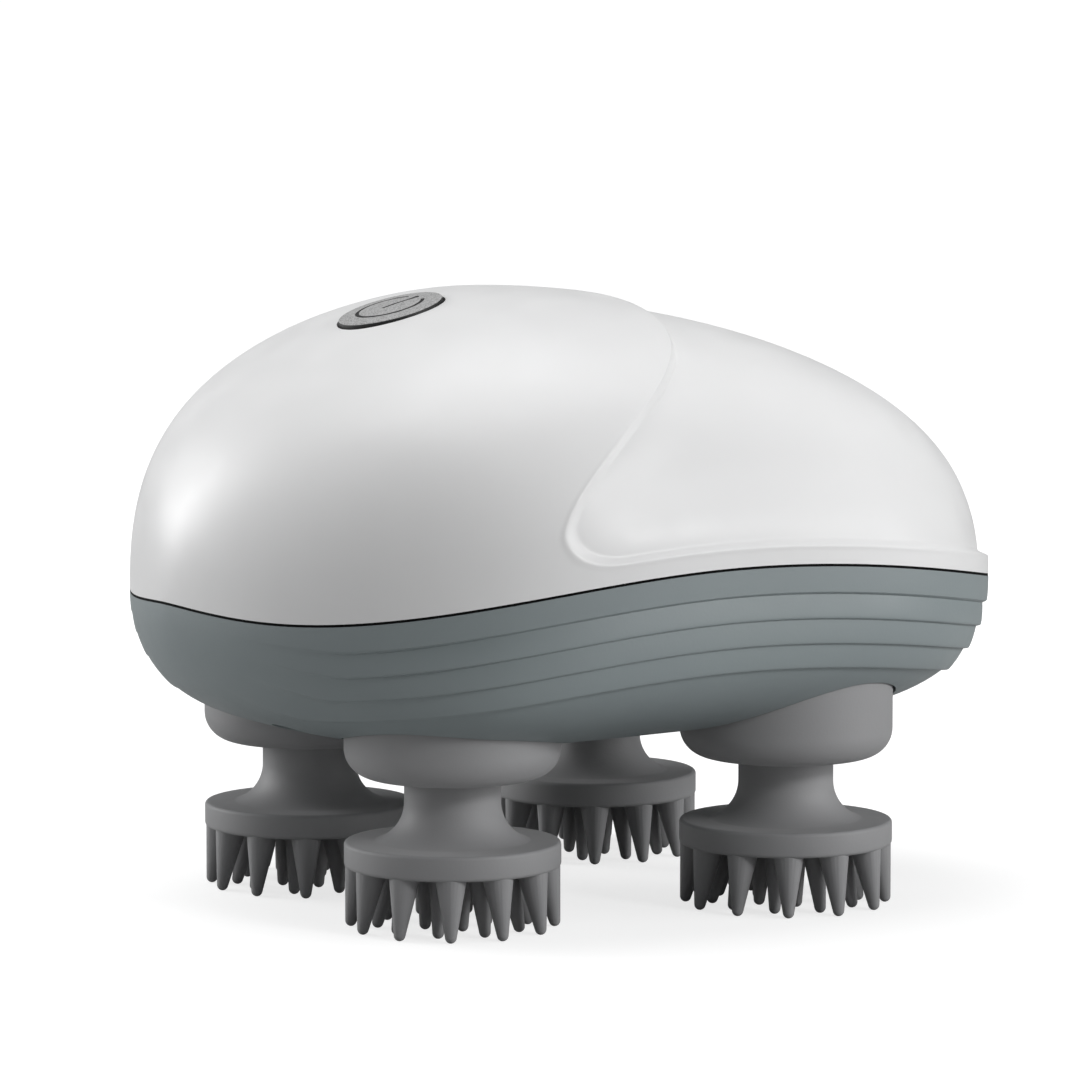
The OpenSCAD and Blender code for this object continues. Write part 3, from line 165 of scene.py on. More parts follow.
def add_world():
    """Dim air that lights the piece, and a white background behind it."""
    world = bpy.data.worlds.new("studio")
    bpy.context.scene.world = world
    world.use_nodes = True
    tree = world.node_tree
    tree.nodes.clear()
    out = tree.nodes.new("ShaderNodeOutputWorld")
    air = tree.nodes.new("ShaderNodeBackground")
    air.inputs["Color"].default_value = AIR_COLOR
    air.inputs["Strength"].default_value = AIR_STRENGTH
    white = tree.nodes.new("ShaderNodeBackground")
    white.inputs["Color"].default_value = WHITE
    mix = tree.nodes.new("ShaderNodeMixShader")
    tree.links.new(seen_directly(tree), mix.inputs[0])
    tree.links.new(air.outputs[0], mix.inputs[1])
    tree.links.new(white.outputs[0], mix.inputs[2])
    tree.links.new(mix.outputs[0], out.inputs["Surface"])


def add_studio():
    bpy.context.scene.view_settings.view_transform = "Standard"
    add_world()
    add_floor()
    for softbox in SOFTBOXES:
        add_softbox(*softbox)


# --- Finishes -----------------------------------------------------------------------------------


COAT_ROUGH = 0.25
CLOUD_SCALE, GLOSS_SCALE, RING_SCALE, SPECKLE_SCALE = 42, 160, 90, 4600
GRAIN_DEPTH, RING_DEPTH, SPECKLE_DEPTH = 0.0001, 0.00005, 0.00008
# Painted shade: the black painted on the button cap's side for the shadow in its gap, and the
# uprightness below which it is painted
PAINTED_GAP_SHADE, PAINTED_SHADE_BELOW = (0.012, 0.012, 0.012, 1), 0.6


def finish_base(name, metallic, roughness, coat=0.0, sheen=0.0):
    """A shader with its node tree and a pattern that is read in the piece's own space."""
    material, tree = new_material(name)
    out = tree.nodes.new("ShaderNodeOutputMaterial")
    shader = tree.nodes.new("ShaderNodeBsdfPrincipled")
    shader.inputs["Metallic"].default_value = metallic
    shader.inputs["Roughness"].default_value = roughness
    shader.inputs["Coat Weight"].default_value = coat
    shader.inputs["Coat Roughness"].default_value = COAT_ROUGH
    shader.inputs["Sheen Weight"].default_value = sheen
    tree.links.new(shader.outputs[0], out.inputs["Surface"])
    place = tree.nodes.new("ShaderNodeTexCoord")
    return material, tree, shader, place


def noise(tree, place, scale, detail=3, stretch=None):
    node = tree.nodes.new("ShaderNodeTexNoise")
    node.inputs["Scale"].default_value = scale
    node.inputs["Detail"].default_value = detail
    source = place.outputs["Object"]
    if stretch:
        mapping = tree.nodes.new("ShaderNodeMapping")
        mapping.inputs["Scale"].default_value = stretch
        tree.links.new(source, mapping.inputs["Vector"])
        source = mapping.outputs[0]
    tree.links.new(source, node.inputs["Vector"])
    return node.outputs["Fac"]


def ramp(tree, value, stops):
    node = tree.nodes.new("ShaderNodeValToRGB")
    node.color_ramp.elements[0].position = stops[0][0]
    node.color_ramp.elements[0].color = (*stops[0][1], 1)
    node.color_ramp.elements[1].position = stops[-1][0]
    node.color_ramp.elements[1].color = (*stops[-1][1], 1)
    for at, color in stops[1:-1]:
        node.color_ramp.elements.new(at).color = (*color, 1)
    tree.links.new(value, node.inputs["Fac"])
    return node.outputs["Color"]


def span(tree, value, low, high):
    node = tree.nodes.new("ShaderNodeMapRange")
    node.inputs["From Min"].default_value = 0.3
    node.inputs["From Max"].default_value = 0.7
    node.inputs["To Min"].default_value = low
    node.inputs["To Max"].default_value = high
    tree.links.new(value, node.inputs["Value"])
    return node.outputs["Result"]


def bump(tree, shader, value, strength, distance):
    node = tree.nodes.new("ShaderNodeBump")
    node.inputs["Strength"].default_value = strength
    node.inputs["Distance"].default_value = distance
    tree.links.new(value, node.inputs["Height"])
    tree.links.new(node.outputs[0], shader.inputs["Normal"])


def moulded(name, light, dark, rough, grain, depth, coat=0.0, sheen=0.0, shine=0.5):
    """Moulded plastic or rubber: faint clouding, a grain and a slightly uneven gloss."""
    material, tree, shader, place = finish_base(name, 0, rough, coat, sheen)
    shader.inputs["Specular IOR Level"].default_value = shine
    cloud = noise(tree, place, CLOUD_SCALE)
    tree.links.new(ramp(tree, cloud, [(0.35, dark), (0.65, light)]), shader.inputs["Base Color"])
    gloss = span(tree, noise(tree, place, GLOSS_SCALE), rough * 0.88, rough * 1.12)
    tree.links.new(gloss, shader.inputs["Roughness"])
    bump(tree, shader, noise(tree, place, grain, 2), depth, GRAIN_DEPTH)
    return material


def turned_metal(name, light, dark, rough):
    """Turned or drawn metal with fine rings round its axis."""
    material, tree, shader, place = finish_base(name, 1, rough)
    rings = noise(tree, place, RING_SCALE, 2, (1, 1, 26))
    tree.links.new(ramp(tree, rings, [(0.3, dark), (0.7, light)]), shader.inputs["Base Color"])
    tree.links.new(span(tree, rings, rough * 0.8, rough * 1.3), shader.inputs["Roughness"])
    bump(tree, shader, rings, 0.12, RING_DEPTH)
    return material


def speckled_button(name):
    """Matte grey cap with a dense dark speckle, and painted shade: black on its side where it turns
    down into the gap.
    """
    material, tree, shader, place = finish_base(name, 0, 0.55)
    shape = tree.nodes.new("ShaderNodeNewGeometry")
    upright = tree.nodes.new("ShaderNodeVectorMath")
    upright.operation = "DOT_PRODUCT"
    upright.inputs[1].default_value = (-math.sin(BUTTON_TILT), 0, math.cos(BUTTON_TILT))
    tree.links.new(shape.outputs["Normal"], upright.inputs[0])
    # Painted shade: faces that turn away from the cap's axis get black, standing in for the shadow
    # in the gap round the cap
    top = two_way(tree, "GREATER_THAN", upright.outputs["Value"], PAINTED_SHADE_BELOW)
    shade = tree.nodes.new("ShaderNodeMix")
    shade.data_type = "RGBA"
    shade.inputs["A"].default_value = PAINTED_GAP_SHADE
    tree.links.new(top, shade.inputs["Factor"])
    speckle = noise(tree, place, SPECKLE_SCALE, 1)
    color = ramp(tree, speckle, [
        (0.34, (0.2, 0.2, 0.2)),
        (0.46, (0.38, 0.38, 0.38)),
        (0.62, (0.47, 0.47, 0.47)),
    ])
    tree.links.new(color, shade.inputs["B"])
    tree.links.new(shade.outputs["Result"], shader.inputs["Base Color"])
    bump(tree, shader, speckle, 0.25, SPECKLE_DEPTH)
    return material


FINISHES = {
    "shell_white": lambda: moulded(
        "shell_white", (0.84, 0.84, 0.84), (0.82, 0.82, 0.822), 0.42, 900, 0.02, coat=0.06),
    "shell_grey": lambda: moulded(
        "shell_grey", (0.255, 0.294, 0.302), (0.243, 0.28, 0.29), 0.45, 2400, 0.1),
    "seal_black": lambda: moulded(
        "seal_black", (0.004, 0.004, 0.004), (0.002, 0.002, 0.002), 0.8, 1800, 0.1, shine=0.1),
    "button_grey": lambda: speckled_button("button_grey"),
    "switch_black": lambda: moulded(
        "switch_black", (0.02, 0.02, 0.02), (0.014, 0.014, 0.014), 0.5, 1500, 0.1),
    "switch_metal": lambda: turned_metal("switch_metal", (0.7, 0.7, 0.72), (0.55, 0.55, 0.57), 0.3),
    "circuit_board": lambda: moulded(
        "circuit_board", (0.02, 0.15, 0.06), (0.012, 0.1, 0.04), 0.35, 1300, 0.15),
    "socket_metal": lambda: turned_metal(
        "socket_metal", (0.75, 0.75, 0.77), (0.6, 0.6, 0.62), 0.22),
    "silicone_grey": lambda: moulded(
        "silicone_grey", (0.305, 0.305, 0.311), (0.288, 0.288, 0.295), 0.6, 3000, 0.12, sheen=0.1),
    "steel": lambda: turned_metal("steel", (0.62, 0.63, 0.65), (0.45, 0.46, 0.48), 0.3),
    "gear_nylon": lambda: moulded(
        "gear_nylon", (0.78, 0.74, 0.62), (0.72, 0.68, 0.56), 0.45, 1600, 0.1),
    "wheel_acetal": lambda: moulded(
        "wheel_acetal", (0.72, 0.68, 0.55), (0.66, 0.62, 0.5), 0.4, 1500, 0.08),
    "gearbox_black": lambda: moulded(
        "gearbox_black", (0.022, 0.022, 0.025), (0.016, 0.016, 0.018), 0.5, 1700, 0.2),
    "seal_rubber": lambda: moulded(
        "seal_rubber", (0.012, 0.012, 0.013), (0.008, 0.008, 0.009), 0.55, 1400, 0.12),
    "bronze": lambda: turned_metal("bronze", (0.6, 0.42, 0.16), (0.48, 0.32, 0.11), 0.38),
    "motor_can": lambda: turned_metal("motor_can", (0.66, 0.67, 0.69), (0.54, 0.55, 0.57), 0.28),
    "bracket_steel": lambda: turned_metal(
        "bracket_steel", (0.52, 0.53, 0.56), (0.42, 0.43, 0.46), 0.36),
    "cell_sleeve": lambda: moulded(
        "cell_sleeve", (0.02, 0.09, 0.26), (0.014, 0.07, 0.2), 0.28, 700, 0.05, coat=0.3),
}

made = {}


def material_of(slot_name):
    if slot_name not in made:
        made[slot_name] = FINISHES[slot_name]()
    return made[slot_name]


# --- Body form, the same sections as the part's shells, in millimetres --------------------------

BODY_L, BODY_W, CROWN_Z, BELLY_Z, WALL = 118, 95, 80.6, 22, 2.4
WIDEST_T, CROWN_T = 59 / BODY_L, 49 / BODY_L
NOSE_Z, TAIL_Z, PART_ARCH, NOSE_LIFT, LIFT_DECAY = 41.4, 39.6, 8.3, 2.9, 0.037
SEAL_T, SEAL_DEPTH, SEAL_TRIM, SEAL_SINK, SEAL_PLAY = 0.55, 1.7, 0.1, 0.05, 0.01
HOOD_T, HOOD_LEAN, HOOD_STEP = 33.2 / BODY_L, 28.6, 1.5
LIP_W, RUN_OUT, CRISP_SHARE = 1.0, 9, 0.3
LEAN_START, LEAN_SPAN = 0.19, 0.86
LEDGE_H, CORNER_R, EDGE_SLANT = 2.4, 6, 0.72
CRISP_H, CRISP_H_SPAN, CRISP_T, CRISP_T_SPAN = 0.5, 0.35, 0.8, 0.15
BEAD_H, BEAD_W, BEAD_AT = 0.08, 0.3, -0.05
PLAN_NOSE_N, PLAN_TAIL_N, PLAN_ROOT = 3.38, 3.06, 1.6
TOP_N, NOSE_TOP_ROOT, TAIL_TOP_ROOT = 1.8, 2.33, 2.26
BELLY_N, BELLY_ROOT = 5, 2
CROWN_N = 2.38
NOSE_KEEL_N, FULL_KEEL_N, TAIL_KEEL_N, FULL_KEEL_T = 2.05, 3.4, 2.36, 0.25
BAND_COUNT, BAND_PITCH, BAND_LAP, LAP_DROP = 4, 3.35, 0.55, 0.3
FADE_T, PORT_FADE, BANDED_SHARE, LEAST_DROP = 0.16, 13, 0.88, 0.5


def smooth(u):
    """A soft step from 0 to 1."""
    u = min(1.0, max(0.0, u))
    return u * u * (3 - 2 * u)


def dome(u, n, root):
    """A rounded fall from 1 at the middle to 0 at the edge."""
    return max(0.0, 1 - min(1.0, abs(u)) ** n) ** (1 / root)


def soft_min(a, b, r):
    """The lesser of two lengths, with a rounded corner where they meet."""
    return min(a, b) - max(r - abs(a - b), 0) ** 2 / (4 * r)


def part_z(t):
    """Height of the parting line."""
    return ((NOSE_Z - NOSE_LIFT) * (1 - t) + TAIL_Z * t + PART_ARCH * math.sin(math.pi * t)
            + NOSE_LIFT * math.exp(-t / LIFT_DECAY))


MID_Z = part_z(0.5)


def along(t, inset):
    """Place along the body of a section, inset by so much."""
    return -BODY_L / 2 + inset + (BODY_L - 2 * inset) * t


def half_width(t, inset):
    """Half the width of a section at the parting line."""
    if t < WIDEST_T:
        share = dome((WIDEST_T - t) / WIDEST_T, PLAN_NOSE_N, PLAN_ROOT)
    else:
        share = dome((t - WIDEST_T) / (1 - WIDEST_T), PLAN_TAIL_N, PLAN_ROOT)
    return (BODY_W / 2 - inset) * share


def rise(t, inset):
    """Height of the crown above the parting line."""
    if t < CROWN_T:
        share = dome((CROWN_T - t) / CROWN_T, TOP_N, NOSE_TOP_ROOT)
        top = NOSE_Z + (CROWN_Z - NOSE_Z) * share
    else:
        share = dome((t - CROWN_T) / (1 - CROWN_T), TOP_N, TAIL_TOP_ROOT)
        top = TAIL_Z + (CROWN_Z - TAIL_Z) * share
    return max(0.0, top - part_z(t)) * (1 - inset / (CROWN_Z - MID_Z))


def drop(t, inset):
    """Depth of the belly below the parting line."""
    reach = WIDEST_T if t < WIDEST_T else 1 - WIDEST_T
    full = (part_z(t) - BELLY_Z) * (1 - inset / (MID_Z - BELLY_Z))
    return full * dome((t - WIDEST_T) / reach, BELLY_N, BELLY_ROOT)


def keel_n(t):
    """Fullness of the lower section, from nose to tail."""
    if t < FULL_KEEL_T:
        return NOSE_KEEL_N + (FULL_KEEL_N - NOSE_KEEL_N) * smooth(t / FULL_KEEL_T)
    return FULL_KEEL_N + (TAIL_KEEL_N - FULL_KEEL_N) * smooth(
        (t - FULL_KEEL_T) / (1 - FULL_KEEL_T))


def lean(t, h):
    """How far the sections lean back towards the crown."""
    fade = smooth(t / HOOD_T) if t < HOOD_T else smooth((1 - t) / (1 - HOOD_T))
    return HOOD_LEAN / BODY_L * smooth((h - LEAN_START) / LEAN_SPAN) * fade


def recess(t, above_rim, h):
    """Depth of the step behind the hood: crisp at the crown and the tail, elsewhere a small
    rounded lip whose foot runs out softly."""
    edge = soft_min((t - HOOD_T) * BODY_L * EDGE_SLANT, above_rim - LEDGE_H, CORNER_R)
    crisp = max(smooth((h - CRISP_H) / CRISP_H_SPAN), smooth((t - CRISP_T) / CRISP_T_SPAN))
    share = CRISP_SHARE + (1 - CRISP_SHARE) * crisp
    lip = BEAD_H * math.exp(-((edge - BEAD_AT) / BEAD_W) ** 2) * (1 - crisp)
    return HOOD_STEP * (share * smooth(edge / LIP_W)
                        + (1 - share) * smooth(edge / RUN_OUT)) - lip


def crown_point(t, h, side, inset=0.0):
    s = t + lean(t, h)
    inset += recess(t, rise(s, 0) * h, h)
    return Vector((
        along(s, inset),
        side * half_width(s, inset) * dome(h, CROWN_N, CROWN_N),
        part_z(s) + (SEAL_T - SEAL_TRIM) * (1 - h) + rise(s, inset) * h,
    )) * MM


def keel_point(t, h, side, inset=0.0):
    n = keel_n(t)
    return Vector((
        along(t, inset),
        side * half_width(t, inset) * dome(h, n, n),
        part_z(t) + SEAL_TRIM * (1 - h) - drop(t, inset) * h,
    )) * MM


def floor_z(x, y, inset):
    """Height of the lower shell's skin at a place, inset by so much."""
    t = (x + BODY_L / 2 - inset) / (BODY_L - 2 * inset)
    n = keel_n(t)
    return part_z(t) - drop(t, inset) * dome(y / half_width(t, inset), n, n)


# Heights over the rim, in mm, of the fine rows that carry the ledge
LEDGE_ROWS = [0.0, 0.8] + [1.6 + 0.24 * k for k in range(29)]
LEAST_RISE, CROWN_STEPS, KEEL_STEPS, WALL_STEPS = 16.0, 32, 26, 26


def crown_rows(t):
    """Height fractions from the rim to the crown: fine steps over the ledge, then even angles."""
    up = max(rise(t, 0), LEAST_RISE)
    rows = [height / up for height in LEDGE_ROWS]
    start = math.asin(rows[-1] ** (CROWN_N / 2))
    turn = (math.pi / 2 - start) / CROWN_STEPS
    return rows + [math.sin(start + turn * k) ** (2 / CROWN_N)
                   for k in range(1, CROWN_STEPS + 1)]


def even_rows(n, count):
    """Height fractions at even angles."""
    return [math.sin(math.pi / 2 * j / count) ** (2 / n) for j in range(count + 1)]


# Share of a band's height, extra depth in mm, and share of the lap by which the skin lies in
BAND_EDGE = ((0.25, 0, 0.75), (0.5, 0, 0.5), (0.75, 0, 0.25), (0.9, 0, 0.12), (0.965, 0, 0.09),
             (1, 0, 0.18), (1, 0.1, 0.42), (1, 0.2, 0.72), (1, 0.3, 1))


def keel_rows(t):
    """Pairs of height fraction and inset down the lapped bands and round the belly."""
    deep = max(drop(t, 0), LEAST_DROP)
    pitch = min(BAND_PITCH, BANDED_SHARE * drop(t, 0) / BAND_COUNT)
    lap = BAND_LAP * smooth(t / FADE_T) * smooth((half_width(t, 0) - PORT_FADE) / PORT_FADE)
    fall = min(LAP_DROP, 0.1 * pitch) / LAP_DROP
    rows = [(0.0, 0.0)]
    for k in range(BAND_COUNT):
        start = LAP_DROP * fall if k else 0.0
        for share, extra, inset in BAND_EDGE:
            depth = k * pitch + start + (pitch - start) * share + extra * fall
            if k == 0 and share < 1:
                inset = inset * 0.2 if share > 0.8 else 0
            rows.append((depth / deep, inset * lap))
    n = keel_n(t)
    start = math.asin(rows[-1][0] ** (n / 2))
    turn = (math.pi / 2 - start) / KEEL_STEPS
    rows += [(math.sin(start + turn * k) ** (2 / n), lap) for k in range(1, KEEL_STEPS + 1)]
    return rows


EDGE_ZONE = 11.5 / BODY_L
EDGE_START = HOOD_T - 1.2 / BODY_L
EDGE_END = EDGE_START + EDGE_ZONE
NOSE_COUNT, EDGE_COUNT, TAIL_COUNT = 48, 46, 256
# Sections from the nose to the tail: close together over the hood's edge and the tail's end.
# The last gap stays wide enough that no two sections are welded into one.
TAIL_PICKS = [*range(0, 224, 4), *range(224, 253), TAIL_COUNT]
STATIONS = (
    [EDGE_START * (1 - math.cos(math.pi / 2 * i / NOSE_COUNT)) for i in range(NOSE_COUNT + 1)]
    + [EDGE_START + EDGE_ZONE * i / EDGE_COUNT for i in range(1, EDGE_COUNT)]
    + [EDGE_END + (1 - EDGE_START - EDGE_ZONE) * math.sin(math.pi / 2 * i / TAIL_COUNT)
       for i in TAIL_PICKS]
)

# --- Modelling helpers --------------------------------------------------------------------------


def pick(obj):
    bpy.ops.object.select_all(action="DESELECT")
    obj.select_set(True)
    bpy.context.view_layer.objects.active = obj


def apply_all(obj):
    pick(obj)
    for modifier in list(obj.modifiers):
        bpy.ops.object.modifier_apply(modifier=modifier.name)


def edit(obj, *steps):
    pick(obj)
    bpy.ops.object.mode_set(mode="EDIT")
    bpy.ops.mesh.select_all(action="SELECT")
    for step in steps:
        step()
    bpy.ops.object.mode_set(mode="OBJECT")


def weld(obj):
    """Merges doubled points and turns the faces outwards."""
    edit(obj, lambda: bpy.ops.mesh.remove_doubles(threshold=1e-6),
         lambda: bpy.ops.mesh.normals_make_consistent(inside=False))


def settle(obj):
    """Puts a piece's object at the origin, with its place in its mesh."""
    pick(obj)
    bpy.ops.object.transform_apply(location=True, rotation=True, scale=True)


def smooth_by_angle(obj, degrees):
    pick(obj)
    bpy.ops.object.shade_smooth_by_angle(angle=math.radians(degrees))


def join(pieces):
    bpy.ops.object.select_all(action="DESELECT")
    for piece in pieces:
        piece.select_set(True)
    bpy.context.view_layer.objects.active = pieces[0]
    bpy.ops.object.join()
    return pieces[0]


def combine(obj, tools, operation):
    tool = join(tools)
    modifier = obj.modifiers.new("combine", "BOOLEAN")
    modifier.operation = operation
    modifier.solver = "EXACT"
    modifier.object = tool
    apply_all(obj)
    bpy.data.objects.remove(tool)


def copy_of(obj, name):
    twin = obj.copy()
    twin.data = obj.data.copy()
    twin.name = name
    bpy.context.scene.collection.objects.link(twin)
    return twin


def dress(obj, body, slot_name, *nodes):
    obj.data.materials.clear()
    obj.data.materials.append(material_of(slot_name))
    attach(obj, body)
    if nodes:
        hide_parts(*nodes)


def rod(r, low, high, x=0.0, y=0.0, sides=48):
    """A cylinder that stands at x, y between two heights, in millimetres."""
    bpy.ops.mesh.primitive_cylinder_add(
        vertices=sides, radius=r * MM, depth=(high - low) * MM,
        location=(x * MM, y * MM, (low + high) / 2 * MM))
    obj = bpy.context.object
    settle(obj)
    return obj


def rounded_bar(width, height, corner, back, front, middle_z):
    """A bar along X with rounded long edges."""
    bpy.ops.mesh.primitive_cube_add(size=1)
    obj = bpy.context.object
    obj.scale = Vector((front - back, width, height)) * MM
    obj.location = Vector(((back + front) / 2, 0, middle_z)) * MM
    settle(obj)
    edit(obj, lambda: bpy.ops.mesh.select_mode(type="EDGE"),
         lambda: bpy.ops.mesh.select_all(action="DESELECT"))
    for edge in obj.data.edges:
        start, end = (obj.data.vertices[k].co for k in edge.vertices)
        edge.select = abs(start.x - end.x) > 1e-6
    bpy.ops.object.mode_set(mode="EDIT")
    bpy.ops.mesh.bevel(offset=corner * MM, segments=8, affect="EDGES")
    bpy.ops.object.mode_set(mode="OBJECT")
    return obj


def laid_grid(name, columns, place):
    """A grid whose points are laid by place(i, j); its seams and poles are then welded."""
    rows = len(place(0))
    bpy.ops.mesh.primitive_grid_add(x_subdivisions=columns - 1, y_subdivisions=rows - 1, size=2)
    obj = bpy.context.object
    obj.name = name
    rings = [place(i) for i in range(columns)]
    for vertex in obj.data.vertices:
        i = round((vertex.co.x + 1) / 2 * (columns - 1))
        j = round((vertex.co.y + 1) / 2 * (rows - 1))
        vertex.co = rings[i][j]
    weld(obj)
    return obj


def turned(name, outline, steps):
    """A closed outline of (radius, height) points, spun once round the Z axis."""
    bpy.ops.mesh.primitive_circle_add(vertices=len(outline), radius=1)
    obj = bpy.context.object
    obj.name = name
    for vertex, (r, z) in zip(obj.data.vertices, outline):
        vertex.co = Vector((r, 0, z)) * MM
    edit(obj, lambda: bpy.ops.mesh.spin(
        steps=steps, angle=math.tau, center=(0, 0, 0), axis=(0, 0, 1)))
    weld(obj)
    return obj


def arc(x, z, r, start, end, count):
    """Points of an arc round x, z, from one angle in degrees to another."""
    return [(x + r * math.cos(math.radians(start + (end - start) * k / count)),
             z + r * math.sin(math.radians(start + (end - start) * k / count)))
            for k in range(count + 1)]


# --- Shells -------------------------------------------------------------------------------------

DRIVE_X = -1.7322
NOSE_POST_X, NOSE_POST_Y = -45, 8
TAIL_POST_X, TAIL_POST_Y = 44.6, 17
WELL_R, WELL_WALL, WELL_ROOF = 2.5, 1.0, 2
COLLAR_R, BORE_GAP = 14, 0.4
POCKET_X, PORT_Z = 54.4, 34.4
HINGE_X, HINGE_Z = 55.5, 32.1
BUTTON_R, BUTTON_GAP = 7, 0.3
GUIDE_WALL, GUIDE_LOW, GUIDE_TOP = 1.8, -3.7, -1.44
UPPER_POST_R, NOSE_POST_TOP, TAIL_POST_TOP = 3, 60, 57
# Offset from the drive's axle or place, radius and top of the lower shell's inner posts
GEARBOX_POST_X, GEARBOX_POST_Y, GEARBOX_POST_R, GEARBOX_POST_TOP = 24.8, 26, 3.2, 34.5
CRADLE_POST_X, CRADLE_POST_Y, CRADLE_POST_R, CRADLE_POST_TOP = 42.7, 10.2, 3, 42.2
MID_POST_X, MID_POST_TOP = 37.4, 31.37
PORT_WALL_W, PORT_WALL_TOP, PORT_WALL_T, PORT_WALL_CORNER = 15.2, 38.4, 2, 0.2
PORT_WINDOW = (13.2, 6.8, 1.8)
PORT_SLOT = (9.14, 3.46, 1.72)
HINGE_HOLE_R, HINGE_HOLE_END = 0.51, 7.8
COLLAR_BORE_TOP, CREASE = 37, 34
BUTTON_TILT = math.radians(15.3631)
BUTTON_PLACE = (Matrix.Translation(Vector((-26, 0, 78.2642)) * MM)
                @ Matrix.Rotation(-BUTTON_TILT, 4, "Y"))


def both_sides(rows, point):
    """Points up the left side and down the right side, through the middle once."""
    return [point(row, -1) for row in rows] + [point(row, 1) for row in rows[-2::-1]]


def closed_ring(outer, inner, at_end):
    """A wall's whole section: the outer skin, the inner skin back, and the first point again."""
    if at_end:
        outer = [outer[0]] * len(outer)
        inner = [inner[0]] * len(inner)
    ring = outer + inner[::-1]
    return ring + ring[:1]


def upper_ring(i):
    t = STATIONS[i]
    return closed_ring(
        both_sides(crown_rows(t), lambda h, side: crown_point(t, h, side)),
        both_sides(even_rows(CROWN_N, WALL_STEPS), lambda h, side: crown_point(t, h, side, WALL)),
        i in (0, len(STATIONS) - 1))


def lower_ring(i):
    t = STATIONS[i]
    return closed_ring(
        both_sides(keel_rows(t), lambda row, side: keel_point(t, row[0], side, row[1])),
        both_sides(even_rows(keel_n(t), WALL_STEPS), lambda h, side: keel_point(t, h, side, WALL)),
        i in (0, len(STATIONS) - 1))


def split_z(x):
    """Height of the parting line at a place along the body."""
    return part_z((x + BODY_L / 2) / BODY_L)


def post_on_floor(x, y, r, top):
    """A post that grows out of the lower shell's wall."""
    low = max(floor_z(x + r * math.cos(a), y + r * math.sin(a), 1.6)
              for a in (k * math.tau / 8 for k in range(8)))
    return rod(r, low, top, x, y)


def make_upper_skin():
    skin = laid_grid("upper_skin", len(STATIONS), upper_ring)
    tools = []
    for side in (-1, 1):
        for x, y, top in ((NOSE_POST_X, NOSE_POST_Y, NOSE_POST_TOP),
                          (TAIL_POST_X, TAIL_POST_Y, TAIL_POST_TOP)):
            tools.append(rod(UPPER_POST_R, split_z(x) + SEAL_T, top, x, side * y))
    guide = rod(BUTTON_R + BUTTON_GAP + GUIDE_WALL, GUIDE_LOW, GUIDE_TOP, sides=96)
    guide.matrix_world = BUTTON_PLACE
    settle(guide)
    combine(skin, tools + [guide], "UNION")
    bore = rod(BUTTON_R + BUTTON_GAP, -5, 5, sides=128)
    bore.matrix_world = BUTTON_PLACE
    settle(bore)
    combine(skin, [bore], "DIFFERENCE")
    smooth_by_angle(skin, CREASE)
    dress(skin, "housing", "shell_white", "upper_shell")


def make_lower_skin():
    skin = laid_grid("lower_skin", len(STATIONS), lower_ring)
    posts = []
    for side in (-1, 1):
        for x, y in ((NOSE_POST_X, NOSE_POST_Y), (TAIL_POST_X, TAIL_POST_Y)):
            posts.append(post_on_floor(x, side * y, WELL_R + WELL_WALL, split_z(x) - 0.1))
        for x, y in ((DRIVE_X + side * GEARBOX_POST_X, 0), (DRIVE_X, side * GEARBOX_POST_Y)):
            posts.append(post_on_floor(x, y, GEARBOX_POST_R, GEARBOX_POST_TOP))
        posts.append(post_on_floor(
            CRADLE_POST_X, side * CRADLE_POST_Y, CRADLE_POST_R, CRADLE_POST_TOP))
    posts.append(post_on_floor(MID_POST_X, 0, CRADLE_POST_R, MID_POST_TOP))
    low = floor_z(POCKET_X, PORT_WALL_W / 2, WALL / 2)
    posts.append(rounded_bar(
        PORT_WALL_W, PORT_WALL_TOP - low, PORT_WALL_CORNER,
        POCKET_X - PORT_WALL_T, POCKET_X, (PORT_WALL_TOP + low) / 2))
    combine(skin, posts, "UNION")
    holes = []
    for fx, fy in HEAD_PLACES.values():
        holes.append(rod(COLLAR_R + BORE_GAP, -1, COLLAR_BORE_TOP, fx, fy, 160))
    for side in (-1, 1):
        for x, y in ((NOSE_POST_X, NOSE_POST_Y), (TAIL_POST_X, TAIL_POST_Y)):
            holes.append(rod(WELL_R, -1, split_z(x) - WELL_ROOF, x, side * y))
    combine(skin, holes, "DIFFERENCE")
    window = rounded_bar(*PORT_WINDOW, POCKET_X, POCKET_X + 20, PORT_Z)
    combine(skin, [window], "DIFFERENCE")
    slot = rounded_bar(*PORT_SLOT, POCKET_X - 3, POCKET_X + 3, PORT_Z)
    combine(skin, [slot], "DIFFERENCE")
    pin_hole = rod(HINGE_HOLE_R, -HINGE_HOLE_END, HINGE_HOLE_END, sides=24)
    pin_hole.matrix_world = (Matrix.Translation(Vector((HINGE_X, 0, HINGE_Z)) * MM)
                             @ Matrix.Rotation(math.pi / 2, 4, "X"))
    settle(pin_hole)
    combine(skin, [pin_hole], "DIFFERENCE")
    smooth_by_angle(skin, CREASE)
    dress(skin, "housing", "shell_grey", "lower_shell")


def make_parting_seal():
    """The dark seal between the shells: a small square section led once round the body."""
    count = len(STATIONS)
    loop = [(i, -1) for i in range(count)] + [(i, 1) for i in range(count - 2, -1, -1)]
    low, high = SEAL_TRIM + SEAL_PLAY, SEAL_T - SEAL_TRIM - SEAL_PLAY
    section = ((SEAL_SINK, low), (SEAL_SINK, high), (SEAL_DEPTH, high), (SEAL_DEPTH, low))

    def place(k):
        i, side = loop[k]
        t = STATIONS[i]
        ring = [Vector((along(t, inset), side * half_width(t, inset), part_z(t) + up)) * MM
                for inset, up in section]
        return ring + ring[:1]

    seal = laid_grid("parting_line", len(loop), place)
    smooth_by_angle(seal, 40)
    dress(seal, "housing", "seal_black", "parting_seal")


# --- Power button -------------------------------------------------------------------------------

